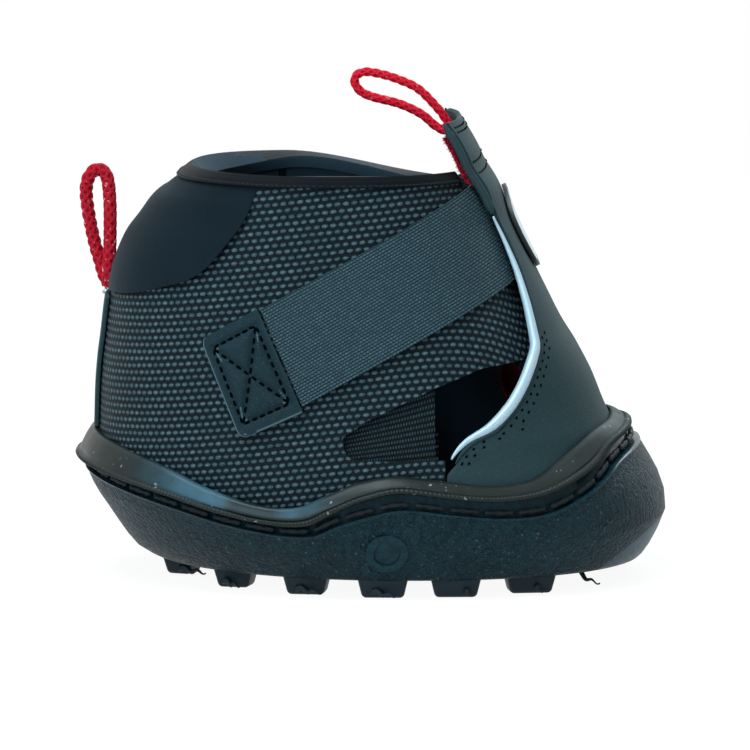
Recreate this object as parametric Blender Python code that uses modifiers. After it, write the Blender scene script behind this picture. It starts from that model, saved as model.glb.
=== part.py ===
"""Hoof boot for a horse, modelled at its real size in metres, +Z up, toe along +X.

The upper is drawn on one form, the outer face of the quarters, and every panel lies on it
at a named distance. The tread's middle lug rests on the origin.
"""

import math

import bmesh
import bpy
from mathutils import Matrix, Vector

# Form of the upper: reach behind and ahead of the origin, half width, height of the flap's top.
HEEL_REACH = 0.0774
TOE_REACH = 0.0772
HALF_WIDTH = 0.065
FORM_HEIGHT = 0.1275
COLLAR_HEIGHT = 0.114
FOLD_HEIGHT = 0.0670

# Sole: depth of its wall at the toe, lugs, floor, wall and the flange behind the edge band.
SOLE_DEPTH = 0.038
LUG_HEIGHT = 0.005
LUG_LENGTH = 0.0135
LUG_WIDTH = 0.010
LUG_TAPER = 0.0012
LUG_INSET = 0.0004
LUG_ROOT = 0.001
MIDDLE_LUG_WIDTH = 0.022
SOLE_FLOOR = 0.004
RIM_WIDTH = 0.0046
FLANGE_FOOT = 0.0020
FLANGE_LIP = 0.0013
BOSS_RADIUS = 0.0058
BOSS_BORE = 0.0037
BOSS_RAISE = 0.0006
BOSS_DEPTH = 0.0030

# Edge band and the thread in the groove below it.
BAND_GROOVE = 0.0042
BAND_HEIGHT = 0.0080
BAND_THICKNESS = 0.0018
BAND_FLARE = 0.0026
BAND_HEEL_FLARE = 0.0018
THREAD_RADIUS = 0.0009

# Sheets: thickness of each, and the clearance between touching sheets.
CLEARANCE = 0.0004
QUARTER_THICKNESS = 0.0014
STRAP_THICKNESS = 0.0012
TAPE_THICKNESS = 0.0005
LEATHER_THICKNESS = 0.0012
PATCH_THICKNESS = 0.0016
GUSSET_THICKNESS = 0.0010
LINING_THICKNESS = 0.0025
CUFF_BULGE = 0.0014
FOOTBED_THICKNESS = 0.0030
FOOTBED_INSET = 0.0030
LINING_DROP = 0.0460
HEM_WIDTH = 0.0100
WING_GAP = 0.0400
STRIP_HALF_WIDTH = 0.0190
BINDING_DROP = 0.0026
BINDING_THICKNESS = 0.0008

# Trim: piping, rolled edge, badge and the two pull loops.
PIPING_RADIUS = 0.0012
ROLL_RADIUS = 0.0012
ROLL_GAP = 0.0008
BADGE_RADIUS = 0.0120
BADGE_THICKNESS = 0.0012
BADGE_HEIGHT = 0.0955
FRONT_CORD_RADIUS = 0.0013
HEEL_CORD_RADIUS = 0.0016
CUTTER_REACH = 0.2

# Distances of the sheets from the form, worked outward from the quarters.
STRAP_FACE = CLEARANCE + STRAP_THICKNESS
TAPE_FACE = STRAP_FACE + CLEARANCE + TAPE_THICKNESS
FLAP_FACE = TAPE_FACE + CLEARANCE + LEATHER_THICKNESS
PATCH_FACE = CLEARANCE + PATCH_THICKNESS
LINING_FACE = -QUARTER_THICKNESS - CLEARANCE
CUFF_THICKNESS = LINING_THICKNESS - LINING_FACE

# The form's levels: height as a share of FORM_HEIGHT, then the reach behind, the reach ahead,
# the half width and the widest station as shares of HEEL_REACH, TOE_REACH, HALF_WIDTH and
# TOE_REACH, and the roundness of the front and of the rear half.
FORM_SHARES = (
    (0.039, 0.742, 0.908, 0.862, 0.08, 2.3, 1.9),
    (0.063, 0.811, 0.939, 0.892, 0.07, 2.3, 1.9),
    (0.096, 0.854, 0.969, 0.928, 0.05, 2.3, 2.0),
    (0.139, 0.900, 1.000, 0.969, 0.04, 2.3, 2.1),
    (0.196, 0.959, 0.990, 1.000, 0.01, 2.3, 2.25),
    (0.243, 0.990, 0.953, 1.000, 0.00, 2.3, 2.35),
    (0.298, 1.000, 0.899, 0.977, -0.03, 2.3, 2.4),
    (0.345, 0.999, 0.858, 0.954, -0.05, 2.4, 2.4),
    (0.423, 0.995, 0.780, 0.915, -0.08, 2.5, 2.4),
    (0.482, 0.987, 0.703, 0.886, -0.10, 2.7, 2.4),
    (0.528, 0.977, 0.645, 0.862, -0.11, 2.9, 2.4),
    (0.612, 0.960, 0.573, 0.815, -0.13, 3.0, 2.4),
    (0.664, 0.940, 0.531, 0.785, -0.14, 3.0, 2.4),
    (0.745, 0.885, 0.466, 0.746, -0.15, 3.0, 2.4),
    (0.784, 0.842, 0.438, 0.730, -0.15, 2.9, 2.4),
    (0.841, 0.782, 0.405, 0.708, -0.15, 2.8, 2.4),
    (0.894, 0.670, 0.352, 0.692, -0.15, 2.7, 2.4),
    (0.929, 0.600, 0.325, 0.685, -0.15, 2.7, 2.4),
    (1.000, 0.560, 0.255, 0.670, -0.15, 2.7, 2.4),
)

# Along the boot from heel (0) to toe (1): the top of the sole's wall as a share of SOLE_DEPTH,
# the groove above it as a share of BAND_GROOVE and the band's height as a share of BAND_HEIGHT.
EDGE_SHARES = (
    (0.000, 0.816, 0.55, 1.00),
    (0.070, 0.730, 0.70, 1.00),
    (0.151, 0.632, 0.78, 0.94),
    (0.220, 0.540, 0.72, 0.78),
    (0.300, 0.480, 0.62, 0.64),
    (0.365, 0.482, 0.62, 0.62),
    (0.421, 0.558, 0.70, 0.62),
    (0.484, 0.626, 1.00, 0.60),
    (0.553, 0.679, 1.05, 0.54),
    (0.640, 0.640, 1.02, 0.56),
    (0.723, 0.605, 1.05, 0.50),
    (0.799, 0.621, 1.15, 0.50),
    (0.862, 0.711, 1.08, 0.62),
    (0.912, 0.816, 0.95, 0.66),
    (0.955, 0.930, 0.95, 0.50),
    (1.000, 1.000, 0.95, 0.36),
)

# Side outlines: X as a share of TOE_REACH, Z as a share of FORM_HEIGHT.
CUFF_EDGE_SHARES = (
    (-1.150, 0.618), (-0.938, 0.630), (-0.835, 0.642), (-0.751, 0.657), (-0.661, 0.675),
    (-0.591, 0.703), (-0.521, 0.752), (-0.455, 0.806), (-0.408, 0.877), (-0.390, 0.960),
)
WINDOW_SHARES = (
    (0.264, 0.301), (-0.030, 0.301), (-0.072, 0.307), (-0.096, 0.325), (-0.098, 0.351),
    (-0.010, 0.386), (0.231, 0.454), (0.391, 0.491), (0.543, 0.503), (0.800, 0.508),
)
GUSSET_SHARES = ((-0.130, 0.285), (-0.150, 0.400), (0.225, 0.478), (0.229, 0.300))
PATCH_SHARES = ((-0.463, 0.343), (-0.607, 0.549), (-0.408, 0.616), (-0.242, 0.402))
STRAP_SHARES = ((-0.242, 0.414), (-0.394, 0.616), (0.360, 0.867), (0.526, 0.667))
EDGE_LINE_SHARES = (
    (0.262, 0.000), (0.262, 0.275), (0.266, 0.297), (0.288, 0.322), (0.337, 0.350),
    (0.412, 0.373), (0.477, 0.408), (0.522, 0.445), (0.556, 0.486), (0.579, 0.527),
    (0.583, 0.569),
)
# The flap's half width, from the fold (0) to the top (1), as a share of its width at the fold.
FLAP_WIDTH_SHARES = (
    (0.0, 1.00), (0.1, 0.92), (0.2, 0.84), (0.33, 0.75), (0.5, 0.70), (0.7, 0.71), (1.0, 0.72),
)
# Shares and powers that shape single pieces.
WALL_LEVEL_SHARES = (0.0, 0.15, 0.4, 0.7, 1.0)
INNER_LEVEL_SHARES = (0.0, 0.15, 0.3, 0.45, 0.65, 1.0)
EDGE_LEVEL_SHARE = 0.7
HEEL_FLARE_POWER = 4
CUFF_UNDERLAP_SHARE = 0.02
CUFF_OVERLAP_TURN = 0.15
CUFF_SWELL_POWER = 0.7
CUFF_SWELL_SHARE = 0.86
STRAP_CROWDING = 1.6
QUARTER_TUCK_SHARE = 0.55
FLANGE_LIP_SHARE = 0.4
PIPING_TOP_SHARE = 0.770
FLAP_TOP_SHARE = 0.996
TAPE_TOP_SHARE = 0.955
TAPE_FOOT_SHARE = 0.440
HEM_FOOT_SHARE = 0.508
HEM_TOP_SHARE = 0.690
PANEL_RISE_SHARE = 0.345
OVERRUN_SHARE = 1.2

# Small turn, and share of a height, over which the form's slope is read; least sine of an edge.
PROBE_SHARE = 0.01
LEAST_SINE_SHARE = 0.3
BISECTIONS = 24

# Edge lugs: turn round the boot as a share of a half turn from the toe, and length as a share of
# LUG_LENGTH. Middle lugs and the boss: place along the boot as a share of TOE_REACH.
EDGE_LUG_SHARES = (
    (0.94, 0.72), (0.763, 0.84), (0.634, 0.95), (0.517, 1.05), (0.429, 1.05), (0.31, 1.05),
)
LUG_TURN_SHARE = 0.3
MIDDLE_LUG_SHARES = (-0.440, -0.220, 0.000, 0.250, 0.500)
BOSS_SHARES = (0.058, 0.106)

# Pull loops, as routes chosen by hand (X, Y, Z).
FRONT_LOOP_ROUTE = (
    (0.0233, 0.0017, 0.1250), (0.0206, 0.0011, 0.1262), (0.0180, 0.0004, 0.1298),
    (0.0122, 0.0, 0.1357), (0.0060, 0.0, 0.1386), (0.0007, 0.0, 0.1401), (-0.0028, 0.0, 0.1405),
    (-0.0052, 0.0, 0.1395), (-0.0056, 0.0, 0.1373), (-0.0038, 0.0, 0.1349), (-0.0003, 0.0, 0.1334),
    (0.0070, 0.0, 0.1315), (0.0130, -0.0002, 0.1287), (0.0170, -0.0005, 0.1254),
    (0.0203, -0.0012, 0.1240), (0.0233, -0.0017, 0.1250),
)
HEEL_LOOP_ROUTE = (
    (-0.0768, 0.0020, 0.0793), (-0.0784, 0.0020, 0.0880), (-0.0805, 0.0015, 0.0960),
    (-0.0818, 0.0008, 0.1035), (-0.0818, 0.0, 0.1085), (-0.0803, 0.0, 0.1122),
    (-0.0777, 0.0, 0.1136), (-0.0757, -0.0004, 0.1112), (-0.0750, -0.0010, 0.1050),
    (-0.0752, -0.0015, 0.0960), (-0.0760, -0.0020, 0.0880), (-0.0768, -0.0020, 0.0793),
)


def empty_scene():
    """Remove what the scene held, and make the collections for the boot and its cutters."""
    for old in list(bpy.data.objects):
        bpy.data.objects.remove(old, do_unlink=True)
    made = []
    for name in ("hoof_boot", "hoof_boot_cutters"):
        collection = bpy.data.collections.new(name)
        bpy.context.scene.collection.children.link(collection)
        made.append(collection)
    return made


BOOT, CUTTERS = empty_scene()


def finish(name, colour, roughness, metallic=0.0):
    """A plain Principled material."""
    material = bpy.data.materials.new(name)
    material.use_nodes = True
    shader = material.node_tree.nodes["Principled BSDF"]
    shader.inputs["Base Color"].default_value = (*colour, 1.0)
    shader.inputs["Roughness"].default_value = roughness
    shader.inputs["Metallic"].default_value = metallic
    material.diffuse_color = (*colour, 1.0)
    return material


def between(table, place, column):
    """Smooth reading of one column of a table whose first column rises."""
    last = len(table) - 2
    row = 0
    while row < last and place > table[row + 1][0]:
        row += 1
    start, stop = table[row], table[row + 1]
    before, after = table[max(row - 1, 0)], table[min(row + 2, len(table) - 1)]
    run = stop[0] - start[0]
    share = min(max((place - start[0]) / run, 0.0), 1.0)
    slope_in = run * (stop[column] - before[column]) / (stop[0] - before[0])
    slope_out = run * (after[column] - start[column]) / (after[0] - start[0])
    square, cube = share * share, share ** 3
    return (
        (2 * cube - 3 * square + 1) * start[column]
        + (cube - 2 * square + share) * slope_in
        + (3 * square - 2 * cube) * stop[column]
        + (cube - square) * slope_out
    )


def form_level(z):
    """The form's plan at a height: reach behind, reach ahead, half width, widest station, two roundnesses."""
    share = z / FORM_HEIGHT
    widest = between(FORM_SHARES, share, 4) * TOE_REACH
    return (
        widest + between(FORM_SHARES, share, 1) * HEEL_REACH,
        between(FORM_SHARES, share, 2) * TOE_REACH - widest,
        between(FORM_SHARES, share, 3) * HALF_WIDTH,
        widest,
        between(FORM_SHARES, share, 5),
        between(FORM_SHARES, share, 6),
    )


def form_point(angle, z):
    """A point of the form: angle 0 at the toe, a quarter turn on the near side, a half turn at the heel."""
    behind, ahead, wide, widest, roundness, rear_roundness = form_level(z)
    cosine, sine = math.cos(angle), math.sin(angle)
    if cosine < 0:
        roundness = rear_roundness
    along = math.copysign(abs(cosine) ** (2 / roundness), cosine)
    across = math.copysign(abs(sine) ** (2 / roundness), sine)
    return Vector((widest + along * (ahead if along > 0 else behind), -wide * across, z))


def skin(angle, z, distance):
    """The point at a distance outside the form, along its normal."""
    turn = PROBE_SHARE
    rise = FORM_HEIGHT * PROBE_SHARE
    around = form_point(angle + turn, z) - form_point(angle - turn, z)
    upward = form_point(angle, z + rise) - form_point(angle, z - rise)
    normal = upward.cross(around).normalized()
    return form_point(angle, z) + normal * distance


def flat_skin(angle, z, distance):
    """The point at a level distance outside the form."""
    turn = PROBE_SHARE
    around = form_point(angle + turn, z) - form_point(angle - turn, z)
    normal = Vector((0, 0, 1)).cross(around).normalized()
    return form_point(angle, z) + normal * distance


def angle_at(x, z, distance):
    """The near side's angle where the skin at this height and distance has this X."""
    low, high = 0.0, math.pi
    for _ in range(BISECTIONS):
        middle = (low + high) / 2
        if skin(middle, z, distance).x > x:
            low = middle
        else:
            high = middle
    return (low + high) / 2


def slid(angle, z, distance, run):
    """The angle reached by sliding along the skin, away from the toe, by a length."""
    turn = PROBE_SHARE
    step = (skin(angle + turn, z, distance) - skin(angle, z, distance)).length
    return angle + run * turn / step


def edge_share(angle):
    """Place along the boot, 0 at the heel and 1 at the toe, for the sole's edge tables."""
    level = SOLE_DEPTH * EDGE_LEVEL_SHARE
    back, front = form_point(math.pi, level).x, form_point(0, level).x
    return (form_point(angle, level).x - back) / (front - back)


def wall_top(angle):
    """Height of the top of the sole's wall."""
    return between(EDGE_SHARES, edge_share(angle), 1) * SOLE_DEPTH


def band_foot(angle):
    """Height of the edge band's foot, above the groove."""
    return wall_top(angle) + between(EDGE_SHARES, edge_share(angle), 2) * BAND_GROOVE


def band_top(angle):
    """Height of the edge band's upper edge."""
    return band_foot(angle) + between(EDGE_SHARES, edge_share(angle), 3) * BAND_HEIGHT


def side_point(share, distance, side):
    """A point of a side outline on the skin, on the near (+1) or the far (-1) side."""
    x, z = share[0] * TOE_REACH, share[1] * FORM_HEIGHT
    return skin(side * angle_at(x, z, distance), z, distance)


def add_object(name, mesh, material, origin=None):
    """Place a mesh as one named sub-part, its own origin where it turns."""
    origin = Vector(origin) if origin else Vector((0, 0, 0))
    mesh.transform(Matrix.Translation(-origin))
    mesh.materials.append(material)
    made = bpy.data.objects.new(name, mesh)
    made.location = origin
    BOOT.objects.link(made)
    return made


def sheet(name, columns, rows, place, thickness, material, origin=None):
    """A grid laid on the form by place(u, v), u away from the viewer's right, and thickened inward."""
    shape = bmesh.new()
    bmesh.ops.create_grid(shape, x_segments=columns, y_segments=rows, size=1.0)
    for vertex in shape.verts:
        vertex.co = place((vertex.co.x + 1) / 2, (vertex.co.y + 1) / 2)
    mesh = bpy.data.meshes.new(name)
    shape.to_mesh(mesh)
    shape.free()
    made = add_object(name, mesh, material, origin)
    made.data.shade_smooth()
    wall = made.modifiers.new("thickness", "SOLIDIFY")
    wall.thickness = thickness
    wall.offset = -1.0
    wall.use_even_offset = True
    return made


def cross_strips(shape, loop):
    """Close a loop round the boot with strips that run straight across, from side to side."""
    for step in range(len(loop) // 2):
        corners = (loop[step], loop[step + 1], loop[-step - 1], loop[-step])
        shape.faces.new(list(dict.fromkeys(corners)))


def ring(name, profile, steps, material, floor=False, roof=False):
    """A closed band round the boot, from a profile of points at each angle, in at the start."""
    shape = bmesh.new()
    loops = []
    for step in range(steps):
        angle = 2 * math.pi * step / steps
        loops.append([shape.verts.new(point) for point in profile(angle)])
    count = len(loops[0])
    spans = range(count - 1) if floor or roof else range(count)
    for step in range(steps):
        here, following = loops[step], loops[(step + 1) % steps]
        for index in spans:
            above = (index + 1) % count
            shape.faces.new((here[index], here[above], following[above], following[index]))
    if floor:
        cross_strips(shape, [loop[0] for loop in loops])
    if roof:
        cross_strips(shape, [loop[-1] for loop in loops])
    bmesh.ops.recalc_face_normals(shape, faces=shape.faces)
    mesh = bpy.data.meshes.new(name)
    shape.to_mesh(mesh)
    shape.free()
    return add_object(name, mesh, material)


def tube(name, points, radius, material, sides=2, origin=None, closed=False):
    """A cord or piping along points, with filled caps."""
    origin = Vector(origin) if origin else Vector((0, 0, 0))
    curve = bpy.data.curves.new(name, "CURVE")
    curve.dimensions = "3D"
    curve.bevel_depth = radius
    curve.bevel_resolution = sides
    curve.use_fill_caps = not closed
    spline = curve.splines.new("POLY")
    spline.points.add(len(points) - 1)
    spline.use_cyclic_u = closed
    for knot, point in zip(spline.points, points):
        knot.co = (*(Vector(point) - origin), 1.0)
    curve.materials.append(material)
    made = bpy.data.objects.new(name, curve)
    made.location = origin
    BOOT.objects.link(made)
    return made


def prism(name, outline, sides):
    """A cutter: a side outline (X, Z) drawn out across the near (1) or far (-1) half, or both."""
    shape = bmesh.new()
    start = CUTTER_REACH if len(sides) == 2 else 0.0
    face = [shape.verts.new((x, start, z)) for x, z in outline]
    shape.faces.new(face)
    drawn = bmesh.ops.extrude_face_region(shape, geom=list(shape.faces))
    moved = [part for part in drawn["geom"] if isinstance(part, bmesh.types.BMVert)]
    bmesh.ops.translate(shape, verts=moved, vec=(0, -sides[0] * (CUTTER_REACH + start), 0))
    bmesh.ops.recalc_face_normals(shape, faces=shape.faces)
    mesh = bpy.data.meshes.new(name)
    shape.to_mesh(mesh)
    shape.free()
    cutter = bpy.data.objects.new(name, mesh)
    cutter.hide_render = True
    cutter.display_type = "WIRE"
    CUTTERS.objects.link(cutter)
    return cutter


def combine(target, cutter, operation, crossing=False):
    """A Boolean step, kept on the object. A crossing cutter may hold solids that overlap each other."""
    step = target.modifiers.new(operation.lower(), "BOOLEAN")
    step.operation = operation
    step.object = cutter
    step.solver = "EXACT"
    step.use_self = crossing


def real_outline(shares):
    """A side outline in real sizes."""
    return [(x * TOE_REACH, z * FORM_HEIGHT) for x, z in shares]


def cuff_outline(grow):
    """The heel cuff's side outline, open upward and backward, moved by a gap."""
    edge = [(x * TOE_REACH + grow, z * FORM_HEIGHT - grow) for x, z in CUFF_EDGE_SHARES]
    top = FORM_HEIGHT * OVERRUN_SHARE
    return edge + [(edge[-1][0], top), (edge[0][0], top)]


def window_outline():
    """The cut-out, the window and all that lies ahead of the quarter's butt joint below it."""
    outline = real_outline(WINDOW_SHARES)
    front = TOE_REACH * OVERRUN_SHARE
    foot = outline[0][0]
    return outline[1:-1] + [(front, outline[-1][1]), (front, 0), (foot, 0), (foot, outline[0][1])]


def outsole(material):
    """The tread: cup, flange, lugs and ring bosses as one moulding."""
    base = LUG_HEIGHT
    floor = base + SOLE_FLOOR

    def profile(angle):
        top = wall_top(angle)
        foot, band = band_foot(angle), band_top(angle)
        lip = foot + (band - foot) * FLANGE_LIP_SHARE
        wall = [base + (top - base) * share for share in WALL_LEVEL_SHARES]
        inner = [lip + (floor - lip) * share for share in INNER_LEVEL_SHARES]
        points = [flat_skin(angle, z, RIM_WIDTH) for z in wall]
        points.append(flat_skin(angle, top, FLANGE_FOOT))
        points.append(flat_skin(angle, lip, FLANGE_LIP))
        points.extend(flat_skin(angle, z, CLEARANCE) for z in inner)
        return points

    sole = ring("outsole", profile, 64, material, floor=True, roof=True)
    combine(sole, lug_block(base), "UNION", crossing=True)
    for side in (1, -1):
        boss, bore = boss_cutters(side)
        combine(sole, boss, "UNION")
        combine(sole, bore, "DIFFERENCE")
    return sole


def lug(shape, spot, turn, length, width, top):
    """One tapered lug, standing from the ground into the sole."""
    block = bmesh.ops.create_cube(shape, size=1.0)["verts"]
    size = Vector((length, width, top))
    bmesh.ops.scale(shape, verts=block, vec=size)
    for vertex in block:
        if vertex.co.z < 0:
            vertex.co.x -= math.copysign(LUG_TAPER, vertex.co.x)
            vertex.co.y -= math.copysign(LUG_TAPER, vertex.co.y)
    place = Matrix.Translation((spot.x, spot.y, top / 2)) @ Matrix.Rotation(turn, 4, "Z")
    bmesh.ops.transform(shape, verts=block, matrix=place)


def edge_lug_place(angle, length, base):
    """Centre and turn of an edge lug: its outermost corner or side lies near the sole's edge."""
    edge = flat_skin(angle, base, RIM_WIDTH)
    outward = (flat_skin(angle, base, RIM_WIDTH * 2) - edge).normalized()
    facing = math.atan2(outward.y, outward.x) + math.pi / 2
    turn = facing * LUG_TURN_SHARE
    lean = facing - turn
    reach = abs(math.cos(lean)) * LUG_WIDTH / 2 + abs(math.sin(lean)) * length / 2
    return edge - outward * (reach + LUG_INSET), turn


def lug_block(base):
    """All lugs as one cutter for the union."""
    shape = bmesh.new()
    top = base + LUG_ROOT
    for turn_share, length_share in EDGE_LUG_SHARES:
        length = LUG_LENGTH * length_share
        spot, turn = edge_lug_place(math.pi * turn_share, length, base)
        lug(shape, spot, turn, length, LUG_WIDTH, top)
        lug(shape, Vector((spot.x, -spot.y, 0)), -turn, length, LUG_WIDTH, top)
    for share in MIDDLE_LUG_SHARES:
        lug(shape, Vector((share * TOE_REACH, 0, 0)), 0.0, LUG_LENGTH, MIDDLE_LUG_WIDTH, top)
    mesh = bpy.data.meshes.new("lugs")
    shape.to_mesh(mesh)
    shape.free()
    cutter = bpy.data.objects.new("lugs", mesh)
    cutter.hide_render = True
    cutter.display_type = "WIRE"
    CUTTERS.objects.link(cutter)
    return cutter


def boss_cutters(side):
    """The round boss on the sole's wall and the hollow in it."""
    x, z = BOSS_SHARES[0] * TOE_REACH, BOSS_SHARES[1] * FORM_HEIGHT
    angle = side * angle_at(x, z, RIM_WIDTH)
    centre = flat_skin(angle, z, RIM_WIDTH)
    outward = (flat_skin(angle, z, RIM_WIDTH * 2) - centre).normalized()
    upward = (flat_skin(angle, z + BOSS_RADIUS, RIM_WIDTH) - centre).normalized()
    outward = upward.cross(outward).cross(upward).normalized()
    made = []
    depth = BOSS_DEPTH
    places = (("boss", BOSS_RADIUS, BOSS_RAISE - depth / 2), ("boss_bore", BOSS_BORE, depth / 2))
    for name, radius, middle in places:
        shape = bmesh.new()
        bmesh.ops.create_cone(
            shape, cap_ends=True, segments=24, radius1=radius, radius2=radius, depth=depth
        )
        spin = outward.to_track_quat("Z", "Y").to_matrix().to_4x4()
        place = Matrix.Translation(centre + outward * middle) @ spin
        bmesh.ops.transform(shape, verts=shape.verts, matrix=place)
        mesh = bpy.data.meshes.new(name)
        shape.to_mesh(mesh)
        shape.free()
        cutter = bpy.data.objects.new(f"{name}_{'near' if side > 0 else 'far'}", mesh)
        cutter.hide_render = True
        cutter.display_type = "WIRE"
        CUTTERS.objects.link(cutter)
        made.append(cutter)
    return made


def footbed(material):
    """A pad lying on the sole's floor."""
    floor = LUG_HEIGHT + SOLE_FLOOR + CLEARANCE
    top = floor + FOOTBED_THICKNESS

    def profile(angle):
        return [
            flat_skin(angle, floor, -FOOTBED_INSET),
            flat_skin(angle, top, -FOOTBED_INSET),
        ]

    return ring("footbed", profile, 48, material, floor=True, roof=True)


def edge_band(material):
    """The glossy band over the joint of sole and upper, flared at the heel."""

    def profile(angle):
        foot, top = band_foot(angle), band_top(angle)
        heel = max(0.0, -math.cos(angle)) ** HEEL_FLARE_POWER
        flare = CLEARANCE + BAND_FLARE + BAND_HEEL_FLARE * heel
        return [
            flat_skin(angle, top, CLEARANCE),
            flat_skin(angle, foot, flare),
            flat_skin(angle, foot, flare + BAND_THICKNESS),
            flat_skin(angle, top, CLEARANCE + BAND_THICKNESS),
        ]

    return ring("edge_band", profile, 64, material)


def sole_stitching(material):
    """The thread that lies in the groove round the boot."""
    distance = FLANGE_FOOT + CLEARANCE + THREAD_RADIUS
    points = []
    steps = 64
    for step in range(steps):
        angle = 2 * math.pi * step / steps
        points.append(flat_skin(angle, wall_top(angle) + CLEARANCE + THREAD_RADIUS, distance))
    return tube("sole_stitching", points, THREAD_RADIUS, material, sides=0, closed=True)


def quarter_foot(angle):
    """The lower edge of the upper, tucked inside the sole's wall."""
    floor = LUG_HEIGHT + SOLE_FLOOR
    return floor + (wall_top(angle) - floor) * QUARTER_TUCK_SHARE


def wing_edge_angle(z):
    """Angle of the quarter's front edge, a constant distance from the middle of the front."""
    return angle_across(WING_GAP / 2, z, 0)


def quarter(name, side, material):
    """A woven quarter from the rear seam to the front hem, less the cuff's and window's outlines."""
    seam = CLEARANCE / HEEL_REACH

    def place(u, v):
        lowest = HEM_FOOT_SHARE * FORM_HEIGHT
        front = math.pi / 4
        for _ in range(4):
            foot = quarter_foot(front)
            z = max(foot + (COLLAR_HEIGHT - foot) * v, lowest)
            front = slid(wing_edge_angle(z), z, 0, HEM_WIDTH)
        share = 1 - u if side > 0 else u
        angle = front + (math.pi - seam - front) * share
        foot = quarter_foot(angle)
        z = foot + (COLLAR_HEIGHT - foot) * v
        return skin(side * angle, z, 0)

    made = sheet(name, 28, 16, place, QUARTER_THICKNESS, material)
    combine(made, prism(f"{name}_window", window_outline(), (side,)), "DIFFERENCE")
    combine(made, prism(f"{name}_cuff", cuff_outline(CLEARANCE), (side,)), "DIFFERENCE")
    return made


def wing_hem(name, side, material):
    """The doubled, zigzag-sewn front edge of the quarter."""

    def place(u, v):
        z = FORM_HEIGHT * (HEM_FOOT_SHARE + (HEM_TOP_SHARE - HEM_FOOT_SHARE) * v)
        front = wing_edge_angle(z)
        rear = slid(front, z, 0, HEM_WIDTH - CLEARANCE)
        share = 1 - u if side > 0 else u
        return skin(side * (front + (rear - front) * share), z, 0)

    return sheet(name, 4, 8, place, QUARTER_THICKNESS, material)


def collar_lining(name, side, material):
    """The padded lining inside the collar, from the cuff to the front."""
    seam = CLEARANCE / HEEL_REACH

    def place(u, v):
        z = COLLAR_HEIGHT - LINING_DROP * (1 - v)
        front = slid(wing_edge_angle(z), z, 0, HEM_WIDTH)
        share = 1 - u if side > 0 else u
        angle = front + (math.pi - seam - front) * share
        return skin(side * angle, z, LINING_FACE)

    made = sheet(name, 16, 5, place, LINING_THICKNESS, material)
    combine(made, prism(f"{name}_cuff", cuff_outline(CLEARANCE), (side,)), "DIFFERENCE")
    return made


def heel_cuff(material):
    """The padded heel cuff, one piece round the back, bulging over the quarters."""
    low = (CUFF_EDGE_SHARES[0][1] - CUFF_UNDERLAP_SHARE) * FORM_HEIGHT
    front = CUFF_EDGE_SHARES[-1][0] * TOE_REACH

    def place(u, v):
        z = low + (COLLAR_HEIGHT - low) * v
        start = angle_at(front, COLLAR_HEIGHT, 0) - CUFF_OVERLAP_TURN
        angle = start + (2 * math.pi - 2 * start) * (1 - u)
        swell = math.sin(math.pi * min(v / CUFF_SWELL_SHARE, 1.0)) ** CUFF_SWELL_POWER
        return skin(angle, z, CUFF_BULGE * swell)

    made = sheet("heel_cuff", 18, 6, place, CUFF_THICKNESS, material)
    combine(made, prism("heel_cuff_outline", cuff_outline(-CLEARANCE / 2), (1, -1)), "INTERSECT")
    return made


def heel_strip(material):
    """The leather strip over the rear seam, from the edge band to the cuff."""

    def place(u, v):
        foot = band_top(math.pi) + CLEARANCE
        top = CUFF_EDGE_SHARES[0][1] * FORM_HEIGHT - CLEARANCE
        z = foot + (top - foot) * v
        distance = CLEARANCE + LEATHER_THICKNESS
        reach = slid(math.pi, z, distance, STRIP_HALF_WIDTH) - math.pi
        return skin(math.pi + reach * (1 - 2 * u), z, distance)

    return sheet("heel_strip", 6, 5, place, LEATHER_THICKNESS, material)


def gusset(name, side, material):
    """The webbing behind the cut-out."""
    corners = real_outline(GUSSET_SHARES)

    def place(u, v):
        share = 1 - u if side < 0 else u
        return patch_point(corners, share, v, LINING_FACE, side)

    return sheet(name, 6, 5, place, GUSSET_THICKNESS, material)


def patch_point(corners, u, v, distance, side):
    """A point of a four-cornered side piece: foot rear, top rear, top front, foot front."""
    rear_foot, rear_top, front_top, front_foot = corners
    foot = [a + (b - a) * u for a, b in zip(rear_foot, front_foot)]
    top = [a + (b - a) * u for a, b in zip(rear_top, front_top)]
    x, z = (a + (b - a) * v for a, b in zip(foot, top))
    return skin(side * angle_at(x, z, distance), z, distance)


def strap_patch(name, side, material):
    """The leather patch that holds the strap's rear end."""
    corners = real_outline(PATCH_SHARES)

    def place(u, v):
        share = 1 - u if side < 0 else u
        return patch_point(corners, share, v, PATCH_FACE, side)

    return sheet(name, 5, 6, place, PATCH_THICKNESS, material)


def strap_pivot(side):
    """Middle of the strap's rear end, where it is sewn down."""
    foot = side_point(STRAP_SHARES[0], STRAP_FACE, side)
    top = side_point(STRAP_SHARES[1], STRAP_FACE, side)
    return (foot + top) / 2


def strap(name, side, material):
    """The elastic webbing from the patch to its end under the flap."""
    corners = real_outline(STRAP_SHARES)

    def place(u, v):
        share = 1 - u if side < 0 else u
        crowded = 1 - (1 - share) ** STRAP_CROWDING
        return patch_point(corners, crowded, v, STRAP_FACE, side)

    return sheet(name, 18, 7, place, STRAP_THICKNESS, material, strap_pivot(side))


def angle_across(half, z, distance):
    """The angle where the skin is this far from the plane of symmetry, ahead of the widest station."""
    low, high = 0.0, math.pi / 2
    for _ in range(BISECTIONS):
        middle = (low + high) / 2
        if -skin(middle, z, distance).y < half:
            low = middle
        else:
            high = middle
    return (low + high) / 2


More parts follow.
